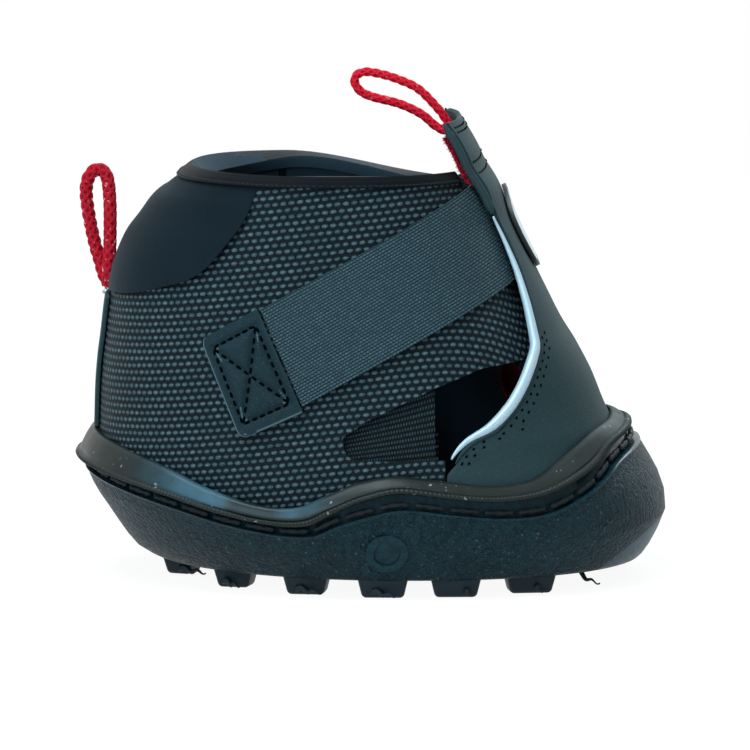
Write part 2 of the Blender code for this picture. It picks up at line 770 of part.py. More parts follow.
def line_point(z, distance):
    """Angle and point of the leather's rear edge line at a height."""
    table = [(share_z, share_x) for share_x, share_z in EDGE_LINE_SHARES]
    x = between(table, min(z, FOLD_HEIGHT) / FORM_HEIGHT, 1) * TOE_REACH
    angle = angle_at(x, min(z, FOLD_HEIGHT), distance)
    if z > FOLD_HEIGHT:
        width = -skin(angle, FOLD_HEIGHT, distance).y
        share = (z - FOLD_HEIGHT) / (FORM_HEIGHT - FOLD_HEIGHT)
        angle = angle_across(width * between(FLAP_WIDTH_SHARES, share, 1), z, distance)
    return angle, skin(angle, z, distance)


def line_angle(z, distance, run):
    """Angle on the skin at a distance square to the rear edge line, away from the toe if positive."""
    rise = FORM_HEIGHT * PROBE_SHARE
    angle, point = line_point(z, distance)
    _, above = line_point(z + rise, distance)
    around = (skin(angle + PROBE_SHARE, z, distance) - point).normalized()
    square = (above - point).normalized().cross(around).length
    return slid(angle, z, distance, run / max(square, LEAST_SINE_SHARE))


def panel_distance(z):
    """How far the toe panel stands off the form: level with the quarters low down, the flap's at the fold."""
    start = FORM_HEIGHT * PANEL_RISE_SHARE
    share = min(max((z - start) / (FOLD_HEIGHT - start), 0.0), 1.0)
    return FLAP_FACE * share * share * (3 - 2 * share)


def leather_inset():
    """How far the leather stays behind its edge line, which leaves room for the piping."""
    return -(PIPING_RADIUS * 2 + CLEARANCE * 2)


def toe_panel(material):
    """The leather over the toe, up to the flap's fold, between the two piped edges."""
    top = FOLD_HEIGHT - CLEARANCE / 2
    butt = EDGE_LINE_SHARES[1][1] * FORM_HEIGHT

    def place(u, v):
        side = 1 if u > 0.5 else -1
        share = abs(2 * u - 1)
        foot_side = quarter_foot(angle_at(EDGE_LINE_SHARES[0][0] * TOE_REACH, butt, 0))
        z = foot_side + (top - foot_side) * v
        edge = line_angle(z, panel_distance(z), leather_inset() if z > butt else -2 * CLEARANCE)
        angle = edge * share
        foot = quarter_foot(angle) + (foot_side - quarter_foot(edge))
        z = foot + (top - foot) * v
        return skin(-side * angle, z, panel_distance(z))

    return sheet("toe_panel", 22, 12, place, LEATHER_THICKNESS, material)


def fold_axis():
    """Where the flap bends: across the boot at the front of the fold line."""
    return skin(0.0, FOLD_HEIGHT, FLAP_FACE)


def across_point(y, z, distance):
    """The point on the front of the skin at a signed distance from the plane of symmetry."""
    angle = angle_across(abs(y), z, distance)
    return skin(math.copysign(angle, y), z, distance)


def front_flap(material):
    """The flap, from the fold to the tab's top."""
    foot, top = FOLD_HEIGHT + CLEARANCE / 2, FLAP_TOP_SHARE * FORM_HEIGHT

    def place(u, v):
        z = foot + (top - foot) * v
        half = -skin(line_angle(z, FLAP_FACE, leather_inset()), z, FLAP_FACE).y
        return across_point(half * (1 - 2 * u), z, FLAP_FACE)

    return sheet("front_flap", 14, 12, place, LEATHER_THICKNESS, material, fold_axis())


def hook_tape(name, foot, top, rows, material, origin=None):
    """The red tape on the inner face of the leather."""

    def place(u, v):
        z = foot + (top - foot) * v
        distance = panel_distance(z) - LEATHER_THICKNESS - CLEARANCE
        half = -skin(line_angle(z, distance, leather_inset()), z, distance).y
        return across_point(half * (1 - 2 * u), z, distance)

    return sheet(name, 14, rows, place, TAPE_THICKNESS, material, origin)


def edge_cord(name, side, foot, top, radius, steps, material, origin=None):
    """Piping or a rolled edge along the leather's rear edge."""
    points = []
    for step in range(steps + 1):
        z = foot + (top - foot) * step / steps
        distance = panel_distance(z)
        edge = line_angle(z, distance, -radius)
        points.append(skin(side * edge, z, distance - LEATHER_THICKNESS / 2))
    return tube(name, points, radius, material, origin=origin)


def badge(material):
    """A round badge lying on the flap."""
    distance = FLAP_FACE + CLEARANCE + BADGE_THICKNESS
    rise = FORM_HEIGHT * PROBE_SHARE
    slope = skin(0.0, BADGE_HEIGHT + rise, distance) - skin(0.0, BADGE_HEIGHT, distance)
    tall = BADGE_RADIUS * rise / slope.length

    def place(u, v):
        x, y = 2 * u - 1, 2 * v - 1
        round_x = x * math.sqrt(1 - y * y / 2)
        round_y = y * math.sqrt(1 - x * x / 2)
        return across_point(-BADGE_RADIUS * round_x, BADGE_HEIGHT + tall * round_y, distance)

    return sheet("badge", 8, 8, place, BADGE_THICKNESS, material, fold_axis())


def smooth_route(knots, steps):
    """Points of a smooth curve through the knots of a route."""
    table = [(index, *knot) for index, knot in enumerate(knots)]
    last = len(knots) - 1
    return [
        Vector([between(table, last * step / steps, column) for column in (1, 2, 3)])
        for step in range(steps + 1)
    ]


def pull_loop(name, route, steps, radius, root, material):
    """A cord loop, turning about its sewn root."""
    return tube(name, smooth_route(route, steps), radius, material, sides=1, origin=root)


def binding(name, side, material):
    """The tape folded over the collar's top edge, from the front to the rear seam."""
    outer = CLEARANCE + BINDING_THICKNESS
    inner = LINING_FACE - LINING_THICKNESS - CLEARANCE
    low, top = COLLAR_HEIGHT - BINDING_DROP, COLLAR_HEIGHT + CLEARANCE
    section = (
        (outer, low), (outer, top + BINDING_THICKNESS / 2),
        ((outer + inner) / 2, top + BINDING_THICKNESS),
        (inner - BINDING_THICKNESS, top + BINDING_THICKNESS / 2),
        (inner - BINDING_THICKNESS, low), (inner, low), (inner, top),
        (CLEARANCE, top), (CLEARANCE, low),
    )
    front = slid(wing_edge_angle(COLLAR_HEIGHT), COLLAR_HEIGHT, 0, HEM_WIDTH)
    rear = math.pi - CLEARANCE / HEEL_REACH
    steps = 20
    shape = bmesh.new()
    loops = []
    for step in range(steps + 1):
        angle = front + (rear - front) * step / steps
        loops.append([shape.verts.new(skin(side * angle, z, far)) for far, z in section])
    for here, following in zip(loops, loops[1:]):
        for index in range(len(section)):
            above = (index + 1) % len(section)
            shape.faces.new((here[index], here[above], following[above], following[index]))
    shape.faces.new(loops[0])
    shape.faces.new(loops[-1])
    bmesh.ops.recalc_face_normals(shape, faces=shape.faces)
    mesh = bpy.data.meshes.new(name)
    shape.to_mesh(mesh)
    shape.free()
    return add_object(name, mesh, material)


def build():
    rubber = finish("sole_rubber", (0.020, 0.037, 0.047), 0.55)
    gloss = finish("band_rubber", (0.043, 0.050, 0.041), 0.3)
    weave = finish("quarter_weave", (0.045, 0.075, 0.090), 0.85)
    webbing = finish("webbing", (0.028, 0.050, 0.060), 0.9)
    neoprene = finish("neoprene", (0.010, 0.018, 0.025), 0.8)
    leather = finish("leather", (0.028, 0.044, 0.047), 0.6)
    pad = finish("footbed_foam", (0.03, 0.03, 0.03), 0.9)
    reflective = finish("reflective_piping", (0.58, 0.75, 0.83), 0.4)
    red_cord = finish("red_cord", (0.54, 0.015, 0.045), 0.7)
    red_tape = finish("red_tape", (0.45, 0.025, 0.045), 0.95)
    white = finish("badge_face", (0.8, 0.8, 0.8), 0.5)

    outsole(rubber)
    footbed(pad)
    edge_band(gloss)
    sole_stitching(webbing)
    heel_cuff(neoprene)
    heel_strip(leather)
    toe_panel(leather)
    front_flap(leather)
    badge(white)
    fold = fold_axis()
    tape_top = TAPE_TOP_SHARE * FORM_HEIGHT
    tape_foot = TAPE_FOOT_SHARE * FORM_HEIGHT
    hook_tape("flap_hook_tape", FOLD_HEIGHT + CLEARANCE, tape_top, 10, red_tape, fold)
    hook_tape("throat_hook_tape", tape_foot, FOLD_HEIGHT - CLEARANCE, 4, red_tape)
    butt = WINDOW_SHARES[0][1] * FORM_HEIGHT + PIPING_RADIUS + CLEARANCE
    piping_top = PIPING_TOP_SHARE * FORM_HEIGHT
    flap_top = FLAP_TOP_SHARE * FORM_HEIGHT
    for side, word in ((1, "near"), (-1, "far")):
        quarter(f"quarter_{word}", side, weave)
        wing_hem(f"wing_hem_{word}", side, weave)
        collar_lining(f"collar_lining_{word}", side, neoprene)
        binding(f"top_binding_{word}", side, webbing)
        gusset(f"gusset_{word}", side, webbing)
        strap_patch(f"strap_patch_{word}", side, leather)
        strap(f"strap_{word}", side, webbing)
        edge_cord(f"toe_piping_{word}", side, butt, FOLD_HEIGHT - CLEARANCE, PIPING_RADIUS, 12, reflective)
        edge_cord(
            f"flap_piping_{word}", side, FOLD_HEIGHT + CLEARANCE, piping_top, PIPING_RADIUS, 12,
            reflective, fold,
        )
        edge_cord(
            f"flap_roll_{word}", side, piping_top + ROLL_GAP, flap_top, ROLL_RADIUS, 10, leather, fold
        )
    front_root = (FRONT_LOOP_ROUTE[0][0], 0.0, FRONT_LOOP_ROUTE[0][2])
    pull_loop("front_pull_loop", FRONT_LOOP_ROUTE, 32, FRONT_CORD_RADIUS, front_root, red_cord)
    heel_root = (HEEL_LOOP_ROUTE[0][0], 0.0, HEEL_LOOP_ROUTE[0][2])
    pull_loop("heel_pull_loop", HEEL_LOOP_ROUTE, 28, HEEL_CORD_RADIUS, heel_root, red_cord)


build()
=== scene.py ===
"""Looks of the horse's hoof boot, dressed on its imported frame. Metres, +Z up, toe along +X."""

import math

import bmesh
import bpy
import numpy as np
from mathutils import Matrix, Vector


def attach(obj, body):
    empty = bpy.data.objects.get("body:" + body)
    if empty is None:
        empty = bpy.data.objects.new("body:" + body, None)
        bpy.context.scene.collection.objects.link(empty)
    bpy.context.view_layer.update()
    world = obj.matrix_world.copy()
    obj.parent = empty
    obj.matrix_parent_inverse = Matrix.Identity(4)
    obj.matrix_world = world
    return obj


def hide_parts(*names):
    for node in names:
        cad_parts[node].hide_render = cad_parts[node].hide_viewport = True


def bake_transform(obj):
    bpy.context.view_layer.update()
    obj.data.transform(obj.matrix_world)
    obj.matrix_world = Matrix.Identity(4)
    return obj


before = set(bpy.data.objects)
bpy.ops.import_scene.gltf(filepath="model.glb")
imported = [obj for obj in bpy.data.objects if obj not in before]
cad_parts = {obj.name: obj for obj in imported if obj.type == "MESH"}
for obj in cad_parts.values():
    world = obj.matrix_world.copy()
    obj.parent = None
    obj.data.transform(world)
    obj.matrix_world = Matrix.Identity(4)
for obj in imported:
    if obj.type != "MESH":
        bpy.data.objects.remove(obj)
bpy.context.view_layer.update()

# The studio: a camera far off with a long lens, as in a product photograph, a white floor that
# runs out of view and keeps a faint shadow, one wide soft lamp above, one in front and one behind.
PHOTO_PIXELS = 750
FOCAL_PIXELS = 7102
SENSOR = 36.0
CAMERA_DISTANCE = 2.0
CAMERA_TURN = math.radians(1.1)
CAMERA_RISE = math.radians(6.5)
LOOK_AT = Vector((0.0, 0.0, 0.055))
FAR_CLIP = 30.0
FLOOR_SIZE = 2.6
ROOM_LIGHT = 0.24
FLOOR_GLOW, FLOOR_GLOW_SHARE = 1.08, 0.86


def linear(text):
    """A colour written as sRGB hex, as the linear values that shaders take."""
    shares = [int(text[index:index + 2], 16) / 255 for index in (1, 3, 5)]
    return (*[s / 12.92 if s <= 0.04045 else ((s + 0.055) / 1.055) ** 2.4 for s in shares], 1.0)


def connect(tree, node, inputs):
    """Set a node's inputs by name or number. A socket is linked, and so is a node by its first output."""
    for key, value in inputs.items():
        if isinstance(value, bpy.types.Node):
            value = value.outputs[0]
        if isinstance(value, bpy.types.NodeSocket):
            tree.links.new(value, node.inputs[key])
        else:
            node.inputs[key].default_value = value


def add_node(tree, kind, inputs=None, **settings):
    """Add a node with its settings and links."""
    made = tree.nodes.new(kind)
    for name, value in settings.items():
        setattr(made, name, value)
    connect(tree, made, inputs or {})
    return made


camera_data = bpy.data.cameras.new("photo_camera")
camera_data.sensor_width = SENSOR
camera_data.lens = SENSOR * FOCAL_PIXELS / PHOTO_PIXELS
camera_data.clip_end = FAR_CLIP
camera = bpy.data.objects.new("photo_camera", camera_data)
bpy.context.scene.collection.objects.link(camera)
outward = Vector((
    math.sin(CAMERA_TURN) * math.cos(CAMERA_RISE),
    -math.cos(CAMERA_TURN) * math.cos(CAMERA_RISE),
    math.sin(CAMERA_RISE),
))
camera.location = LOOK_AT + outward * CAMERA_DISTANCE
camera.rotation_euler = outward.to_track_quat("Z", "Y").to_euler()
bpy.context.scene.camera = camera
bpy.context.scene.view_settings.view_transform = "Standard"

LAMPS = (
    ("top_softbox", (-0.30, -0.40, 1.20), 0.7, 14.0, "#dcf3fa"),
    ("front_softbox", (-0.75, -1.35, 0.50), 0.9, 11.0, "#d4edf8"),
    ("back_softbox", (0.45, 1.0, 0.95), 0.7, 13.0, "#d4edf8"),
)
for lamp_name, place, side, power, tint in LAMPS:
    lamp_data = bpy.data.lights.new(lamp_name, "AREA")
    lamp_data.size = side
    lamp_data.energy = power
    lamp_data.color = linear(tint)[:3]
    lamp = bpy.data.objects.new(lamp_name, lamp_data)
    lamp.location = place
    lamp.rotation_euler = (Vector(place) - LOOK_AT).to_track_quat("Z", "Y").to_euler()
    bpy.context.scene.collection.objects.link(lamp)


def shown(tree):
    """1 for rays that show the room itself, straight, in a gloss or through glass, and 0 for its light."""
    seen = add_node(tree, "ShaderNodeLightPath").outputs
    gloss = add_node(tree, "ShaderNodeMath", {0: seen["Is Camera Ray"], 1: seen["Is Glossy Ray"]},
                     operation="MAXIMUM")
    return add_node(tree, "ShaderNodeMath", {0: gloss, 1: seen["Is Transmission Ray"]}, operation="MAXIMUM")


world = bpy.data.worlds.new("white_room")
bpy.context.scene.world = world
world.use_nodes = True
sky = world.node_tree
straight = shown(sky)
room_light = add_node(sky, "ShaderNodeMapRange", {"Value": straight, "To Min": ROOM_LIGHT, "To Max": 1.0})
room_tint = add_node(sky, "ShaderNodeMixRGB", {0: straight, 1: linear("#c6e6ee"), 2: linear("#ffffff")})
connect(sky, sky.nodes["Background"], {"Color": room_tint, "Strength": room_light})

bpy.ops.mesh.primitive_plane_add(size=FLOOR_SIZE, location=(0.0, 0.0, 0.0))
floor = bpy.context.object
floor.name = "studio_floor"
# White paper, matt, lit from above so that the camera sees it as white as the room.
paper = bpy.data.materials.new("white_paper")
paper.use_nodes = True
tree = paper.node_tree
matt = tree.nodes["Principled BSDF"]
connect(tree, matt, {"Base Color": linear("#ffffff"), "Roughness": 0.95, "Specular IOR Level": 0.0})
glow = add_node(tree, "ShaderNodeEmission", {"Color": linear("#ffffff"), "Strength": FLOOR_GLOW})
glow_share = add_node(tree, "ShaderNodeMath", {0: shown(tree), 1: FLOOR_GLOW_SHARE}, operation="MULTIPLY")
lit_paper = add_node(tree, "ShaderNodeMixShader", {0: glow_share, 1: matt, 2: glow})
connect(tree, tree.nodes["Material Output"], {"Surface": lit_paper})
floor.data.materials.append(paper)

# Pull loops: round braided nylon, one at the flap's top and one at the heel, each sewn in at both
# ends. The braid's strands cross round the cord, so its surface is a diamond of raised picks.
FRONT_LOOP_ROUTE = (
    (0.0233, 0.0017, 0.1250), (0.0206, 0.0011, 0.1262), (0.0180, 0.0004, 0.1298),
    (0.0122, 0.0, 0.1357), (0.0060, 0.0, 0.1386), (0.0007, 0.0, 0.1401), (-0.0028, 0.0, 0.1405),
    (-0.0052, 0.0, 0.1395), (-0.0056, 0.0, 0.1373), (-0.0038, 0.0, 0.1349), (-0.0003, 0.0, 0.1334),
    (0.0070, 0.0, 0.1315), (0.0130, -0.0002, 0.1287), (0.0170, -0.0005, 0.1254),
    (0.0203, -0.0012, 0.1240), (0.0233, -0.0017, 0.1250),
)
HEEL_LOOP_ROUTE = (
    (-0.0757, 0.0016, 0.0800), (-0.0772, 0.0020, 0.0860), (-0.0789, 0.0018, 0.0920),
    (-0.0805, 0.0012, 0.1000), (-0.0812, 0.0006, 0.1070), (-0.0802, 0.0, 0.1112),
    (-0.0778, 0.0, 0.1130), (-0.0754, -0.0004, 0.1112), (-0.0745, -0.0010, 0.1050),
    (-0.0744, -0.0015, 0.0960), (-0.0746, -0.0018, 0.0890), (-0.0753, -0.0014, 0.0800),
)
FRONT_CORD_RADIUS = 0.0013
HEEL_CORD_RADIUS = 0.0016
BRAID_PITCH = 0.0052
BRAID_STRANDS = 4
BRAID_RELIEF = 0.16
BRAID_SIDES = 32
CORD_STEP = 0.00028
SEWN_LENGTH = 0.0035
SEWN_SHARE = 0.6


def reading(table, place, column):
    """Smooth reading of one column of a table whose first column rises, for many places."""
    table = np.asarray(table, float)
    place = np.asarray(place, float)
    row = np.clip(np.searchsorted(table[:, 0], place) - 1, 0, len(table) - 2)
    first, last = np.maximum(row - 1, 0), np.minimum(row + 2, len(table) - 1)
    x, y = table[:, 0], table[:, column]
    run = x[row + 1] - x[row]
    share = np.clip((place - x[row]) / run, 0.0, 1.0)
    slope_in = run * (y[row + 1] - y[first]) / (x[row + 1] - x[first])
    slope_out = run * (y[last] - y[row]) / (x[last] - x[row])
    square, cube = share ** 2, share ** 3
    return (
        (2 * cube - 3 * square + 1) * y[row] + (cube - 2 * square + share) * slope_in
        + (3 * square - 2 * cube) * y[row + 1] + (cube - square) * slope_out
    )


def laid_grid(name, columns, rows, lay, joined=False, capped=False):
    """A grid whose points lay(u, v) puts in place, u and v from 0 to 1, with its pattern as UVs in mm.

    Joined, its left and right edges meet. Capped, what stays open is filled."""
    bpy.ops.object.select_all(action="DESELECT")
    bpy.ops.mesh.primitive_grid_add(x_subdivisions=columns, y_subdivisions=rows, size=1.0)
    piece = bpy.context.object
    piece.name = name
    mesh = piece.data
    mesh.name = name
    flat = np.empty(len(mesh.vertices) * 3)
    mesh.vertices.foreach_get("co", flat)
    points, pattern = lay(flat[0::3] + 0.5, flat[1::3] + 0.5)
    mesh.vertices.foreach_set("co", np.asarray(points, np.float32).ravel())
    corners = np.empty(len(mesh.loops), np.int32)
    mesh.loops.foreach_get("vertex_index", corners)
    mesh.uv_layers.active.data.foreach_set("uv", (np.asarray(pattern)[corners] * 1000).ravel())
    if joined or capped:
        shape = bmesh.new()
        shape.from_mesh(mesh)
        bmesh.ops.remove_doubles(shape, verts=shape.verts, dist=1e-7)
        if capped:
            bmesh.ops.holes_fill(shape, edges=[e for e in shape.edges if e.is_boundary], sides=0)
        bmesh.ops.recalc_face_normals(shape, faces=shape.faces)
        shape.to_mesh(mesh)
        shape.free()
    mesh.update()
    return piece


def unit(vectors):
    """Vectors of length 1."""
    return vectors / np.maximum(np.linalg.norm(vectors, axis=-1, keepdims=True), 1e-12)


def swept(name, path, around, section, side_hint):
    """A tube along points. section(turn, along) gives its two half sizes' offsets, in metres."""
    path = np.asarray(path, float)
    steps = np.linalg.norm(np.diff(path, axis=0), axis=1)
    reach = np.concatenate([[0.0], np.cumsum(steps)])
    tangent = unit(np.gradient(path, axis=0))
    side = np.asarray(side_hint, float)
    sides = []
    for direction in tangent:
        side = side - direction * (side @ direction)
        side = side / np.linalg.norm(side)
        sides.append(side)
    sides = np.array(sides)
    ups = np.cross(tangent, sides)

    def lay(u, v):
        place = np.rint(v * (len(path) - 1)).astype(int)
        along = reach[place]
        across, high = section(2 * math.pi * u, along)
        points = path[place] + sides[place] * across[:, None] + ups[place] * high[:, None]
        return points, np.stack([u * 0.01, along], axis=1)

    return laid_grid(name, around, len(path) - 1, lay, joined=True, capped=True)


def smooth_route(knots, spacing, axes=3):
    """Evenly fine points of a smooth curve through a route's knots."""
    table = np.array([(index, *knot) for index, knot in enumerate(knots)], float)
    length = np.linalg.norm(np.diff(table[:, 1:], axis=0), axis=1).sum()
    places = np.linspace(0, len(knots) - 1, int(length / spacing))
    return np.stack([reading(table, places, column + 1) for column in range(axes)], axis=1)


def braid(radius, flat, length):
    """A braided cord's section: strands wound both ways, over and under, pinched where it is sewn in."""
    def section(turn, along):
        free = np.clip(np.minimum(along, length - along) / SEWN_LENGTH, 0, 1)
        pinch = SEWN_SHARE + (1 - SEWN_SHARE) * free
        wind = 2 * math.pi * along / BRAID_PITCH
        right = np.cos(BRAID_STRANDS * turn + wind * 2)
        left = np.cos(BRAID_STRANDS * turn - wind * 2)
        pick = np.maximum(right, left)
        far = radius * pinch * (1 - BRAID_RELIEF + BRAID_RELIEF * pick)
        return far * np.cos(turn), far * np.sin(turn) * flat
    return section


def start_material(name, colour, roughness, gloss=0.5):
    """A material with its Principled shader, and the UV and object coordinates it may read."""
    material = bpy.data.materials.new(name)
    material.use_nodes = True
    tree = material.node_tree
    shader = tree.nodes["Principled BSDF"]
    connect(tree, shader, {"Base Color": linear(colour), "Roughness": roughness, "Specular IOR Level": gloss})
    return material, tree, shader, add_node(tree, "ShaderNodeTexCoord").outputs


def per_metre(size):
    """A pattern's scale on coordinates in metres, from its real size in mm."""
    return 1000 / size


def red_nylon(name, deep, bright, flecked):
    """Dyed nylon yarn, braided: saturated red, satin, with painted shade darkening it between strands, and a
    few pale filaments.
    """
    material, tree, shader, coords = start_material(name, bright, 0.6, 0.12)
    wear = add_node(tree, "ShaderNodeTexNoise",
                    {"Vector": coords["Object"], "Scale": per_metre(1.25), "Detail": 2.0})
    groove = add_node(tree, "ShaderNodeNewGeometry").outputs["Pointiness"]
    # Painted shade: concave places between the strands take the deep red.
    depth = add_node(tree, "ShaderNodeMapRange", {"Value": groove, "From Min": 0.44, "From Max": 0.55})
    shade = add_node(tree, "ShaderNodeMixRGB", {0: depth, 1: linear(deep), 2: linear(bright)})
    flecks = add_node(tree, "ShaderNodeMapRange",
                      {"Value": wear, "From Min": 0.64, "From Max": 0.72, "To Max": flecked})
    tint = add_node(tree, "ShaderNodeMixRGB", {0: flecks, 1: shade, 2: linear("#f4d3d6")})
    filament = add_node(tree, "ShaderNodeTexNoise",
                        {"Vector": coords["UV"], "Scale": 1 / 0.1111, "Detail": 2.0})
    bump = add_node(tree, "ShaderNodeBump", {"Height": filament, "Strength": 0.5, "Distance": 0.0004})
    connect(tree, shader, {"Base Color": tint, "Normal": bump})
    return material


front_red = red_nylon("braided_red_nylon", "#b80b1e", "#fa1c36", 0.2)
# The heel loop's red is a darker copy, painted shade for its shadowed side at the back, with more pale
# filaments.
heel_red = red_nylon("worn_red_nylon", "#85091a", "#c8142a", 0.7)
LOOPS = (
    ("front_loop", FRONT_LOOP_ROUTE, FRONT_CORD_RADIUS, 1.0, "front_pull_loop", front_red),
    ("heel_loop", HEEL_LOOP_ROUTE, HEEL_CORD_RADIUS, 1.22, "heel_pull_loop", heel_red),
)
for body, route, radius, flat, node, red in LOOPS:
    path = smooth_route(route, CORD_STEP)
    reach = float(np.linalg.norm(np.diff(path, axis=0), axis=1).sum())
    loop = swept(f"{body}_braid", path, BRAID_SIDES, braid(radius, flat, reach), (0, 1, 0))
    loop.data.shade_smooth()
    loop.data.materials.append(red)
    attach(loop, body)
    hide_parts(node)

# Outsole: one moulded rubber cup with a cleated tread, a stitched groove under its lip, a round
# boss on each side and a smooth bevel under the toe. The whole boot is drawn on one last: levels
# of height, reach behind and ahead, half width, widest station, and roundness before and behind.
HEEL_REACH = 0.0774
TOE_REACH = 0.0772
HALF_WIDTH = 0.065
FORM_HEIGHT = 0.1275
CLEARANCE = 0.0004
LAST_SHARES = (
    (0.039, 0.742, 0.908, 0.862, 0.08, 2.3, 1.9),
    (0.063, 0.811, 0.939, 0.892, 0.07, 2.3, 1.9),
    (0.096, 0.854, 0.969, 0.928, 0.05, 2.3, 2.0),
    (0.139, 0.900, 1.000, 0.969, 0.04, 2.3, 2.1),
    (0.196, 0.959, 0.990, 1.000, 0.01, 2.3, 2.25),
    (0.243, 0.990, 0.953, 1.000, 0.00, 2.3, 2.35),
    (0.298, 1.000, 0.899, 0.977, -0.03, 2.3, 2.4),
    (0.345, 0.999, 0.858, 0.954, -0.05, 2.4, 2.4),
    (0.423, 0.995, 0.780, 0.915, -0.08, 2.5, 2.4),
    (0.482, 0.987, 0.703, 0.886, -0.10, 2.7, 2.4),
    (0.528, 0.977, 0.645, 0.862, -0.11, 2.9, 2.4),
    (0.612, 0.960, 0.573, 0.815, -0.13, 3.0, 2.4),
    (0.664, 0.940, 0.531, 0.785, -0.14, 3.0, 2.4),
    (0.745, 0.885, 0.466, 0.746, -0.15, 3.0, 2.4),
    (0.784, 0.842, 0.438, 0.730, -0.15, 2.9, 2.4),
    (0.841, 0.782, 0.405, 0.708, -0.15, 2.8, 2.4),
    (0.894, 0.670, 0.352, 0.692, -0.15, 2.7, 2.4),
    (0.929, 0.600, 0.325, 0.685, -0.15, 2.7, 2.4),
    (1.000, 0.560, 0.255, 0.670, -0.15, 2.7, 2.4),
)
EDGE_SHARES = (
    (0.000, 0.816, 0.55, 1.00), (0.070, 0.730, 0.70, 1.00), (0.151, 0.632, 0.78, 0.94),
    (0.220, 0.540, 0.72, 0.78), (0.300, 0.480, 0.62, 0.64), (0.365, 0.482, 0.62, 0.62),
    (0.421, 0.558, 0.70, 0.62), (0.484, 0.626, 1.00, 0.60), (0.553, 0.679, 1.05, 0.54),
    (0.640, 0.640, 1.02, 0.56), (0.723, 0.605, 1.05, 0.50), (0.799, 0.621, 1.15, 0.50),
    (0.862, 0.711, 1.08, 0.62), (0.912, 0.816, 0.95, 0.66), (0.955, 0.930, 0.95, 0.50),
    (1.000, 1.000, 0.95, 0.36),
)
SOLE_DEPTH = 0.038
BAND_GROOVE = 0.0042
BAND_HEIGHT = 0.0080
SOLE_BASE = 0.005
SOLE_FLOOR = 0.009
RIM_WIDTH = 0.0046
FLANGE_FOOT = 0.0020
FLANGE_LIP = 0.0013
LIP_SHARE = 0.4
BASE_ROUND = 0.0010
PROFILE_TURN_IN = 0.004
WALL_SHARES = (0.04, 0.12, 0.25, 0.4, 0.55, 0.7, 0.82, 0.92)
INNER_WALL_SHARES = (0.15, 0.3, 0.45, 0.65, 1.0)
LIP_RIDGE = ((-0.0009, 0.0), (-0.0006, 0.0004), (-0.0002, 0.0004), (0.0, -0.0001), (-0.0001, -0.0008))
GROOVE_CORNER = 0.0006
GIRTH = 0.48
GIRTH_STEPS = 320
LAST_STEP = 0.01


def last_point(angle, z):
    """Points of the last: angle 0 at the toe, a quarter turn on the near side, a half at the heel."""
    share = np.asarray(z) / FORM_HEIGHT
    behind, ahead, wide, widest, round_front, round_rear = (
        reading(LAST_SHARES, share, column) for column in (1, 2, 3, 4, 5, 6)
    )
    widest = widest * TOE_REACH
    cosine, sine = np.cos(angle), np.sin(angle)
    power = 2 / np.where(cosine < 0, round_rear, round_front)
    along = np.sign(cosine) * np.abs(cosine) ** power
    across = np.sign(sine) * np.abs(sine) ** power
    length = np.where(along > 0, ahead * TOE_REACH - widest, widest + behind * HEEL_REACH)
    return np.stack([widest + along * length, -wide * HALF_WIDTH * across, z + 0 * along], axis=-1)


def skin(angle, z, distance, level=False):
    """Points at a distance outside the last, square to it or, for the sole, straight outward."""
    angle, z = np.broadcast_arrays(np.asarray(angle, float), np.asarray(z, float))
    distance = np.asarray(distance, float)
    around = last_point(angle + LAST_STEP, z) - last_point(angle - LAST_STEP, z)
    rise = FORM_HEIGHT * LAST_STEP
    upward = np.array([0.0, 0.0, 1.0])
    if not level:
        upward = last_point(angle, z + rise) - last_point(angle, z - rise)
    normal = unit(np.cross(upward, around))
    return last_point(angle, z) + normal * distance[..., None]


def edge_reading(angle, column):
    """One of the sole's edge tables at an angle, by its place along the boot from heel to toe."""
    level = SOLE_DEPTH * 0.7
    ends = last_point(np.array([math.pi, 0.0]), level)[:, 0]
    x = last_point(np.asarray(angle, float), level)[..., 0]
    return reading(EDGE_SHARES, (x - ends[0]) / (ends[1] - ends[0]), column)


def wall_top(angle):
    """The height of the sole's wall."""
    return edge_reading(angle, 1) * SOLE_DEPTH


def band_foot(angle):
    """The height of the edge band's lower edge, above the stitched groove."""
    return wall_top(angle) + edge_reading(angle, 2) * BAND_GROOVE


def band_top(angle):
    """The height of the edge band's upper edge."""
    return band_foot(angle) + edge_reading(angle, 3) * BAND_HEIGHT


def round_the_boot(name, steps, profile):
    """A band round the boot. profile(angle) gives rows of (height, level distance), closed or open."""
    rows = len(profile(np.zeros(1)))

    def lay(u, v):
        angle = 2 * math.pi * (1 - u)
        row = np.rint(v * (rows - 1)).astype(int)
        z, far = (np.stack([line[part] for line in profile(angle)])[row, np.arange(len(row))]
                  for part in (0, 1))
        return skin(angle, z, far, level=True), np.stack([u * GIRTH, z - wall_top(angle)], axis=1)

    return laid_grid(name, steps, rows - 1, lay, joined=True)


def sole_profile(angle):
    """The cup's section at an angle, from the middle of the tread's edge, out, up and in again."""
    top = wall_top(angle)
    foot, band = band_foot(angle), band_top(angle)
    lip = foot + (band - foot) * LIP_SHARE
    flat = 0 * angle
    rim = flat + RIM_WIDTH
    rows = [(flat + SOLE_BASE, flat - PROFILE_TURN_IN), (flat + SOLE_BASE, rim - BASE_ROUND)]
    rows.append((flat + SOLE_BASE + BASE_ROUND * 0.3, rim - BASE_ROUND * 0.3))
    rows += [(SOLE_BASE + (top - SOLE_BASE) * share, rim) for share in WALL_SHARES]
    rows += [(top + rise, rim + reach) for rise, reach in LIP_RIDGE]
    rows.append((top - GROOVE_CORNER / 2, flat + FLANGE_FOOT + GROOVE_CORNER))
    rows += [(top, flat + FLANGE_FOOT), (lip, flat + FLANGE_LIP), (lip, flat + CLEARANCE)]
    rows += [(lip + (SOLE_FLOOR - lip) * share, flat + CLEARANCE) for share in INNER_WALL_SHARES]
    rows.append((flat + SOLE_FLOOR, flat - PROFILE_TURN_IN))
    return rows


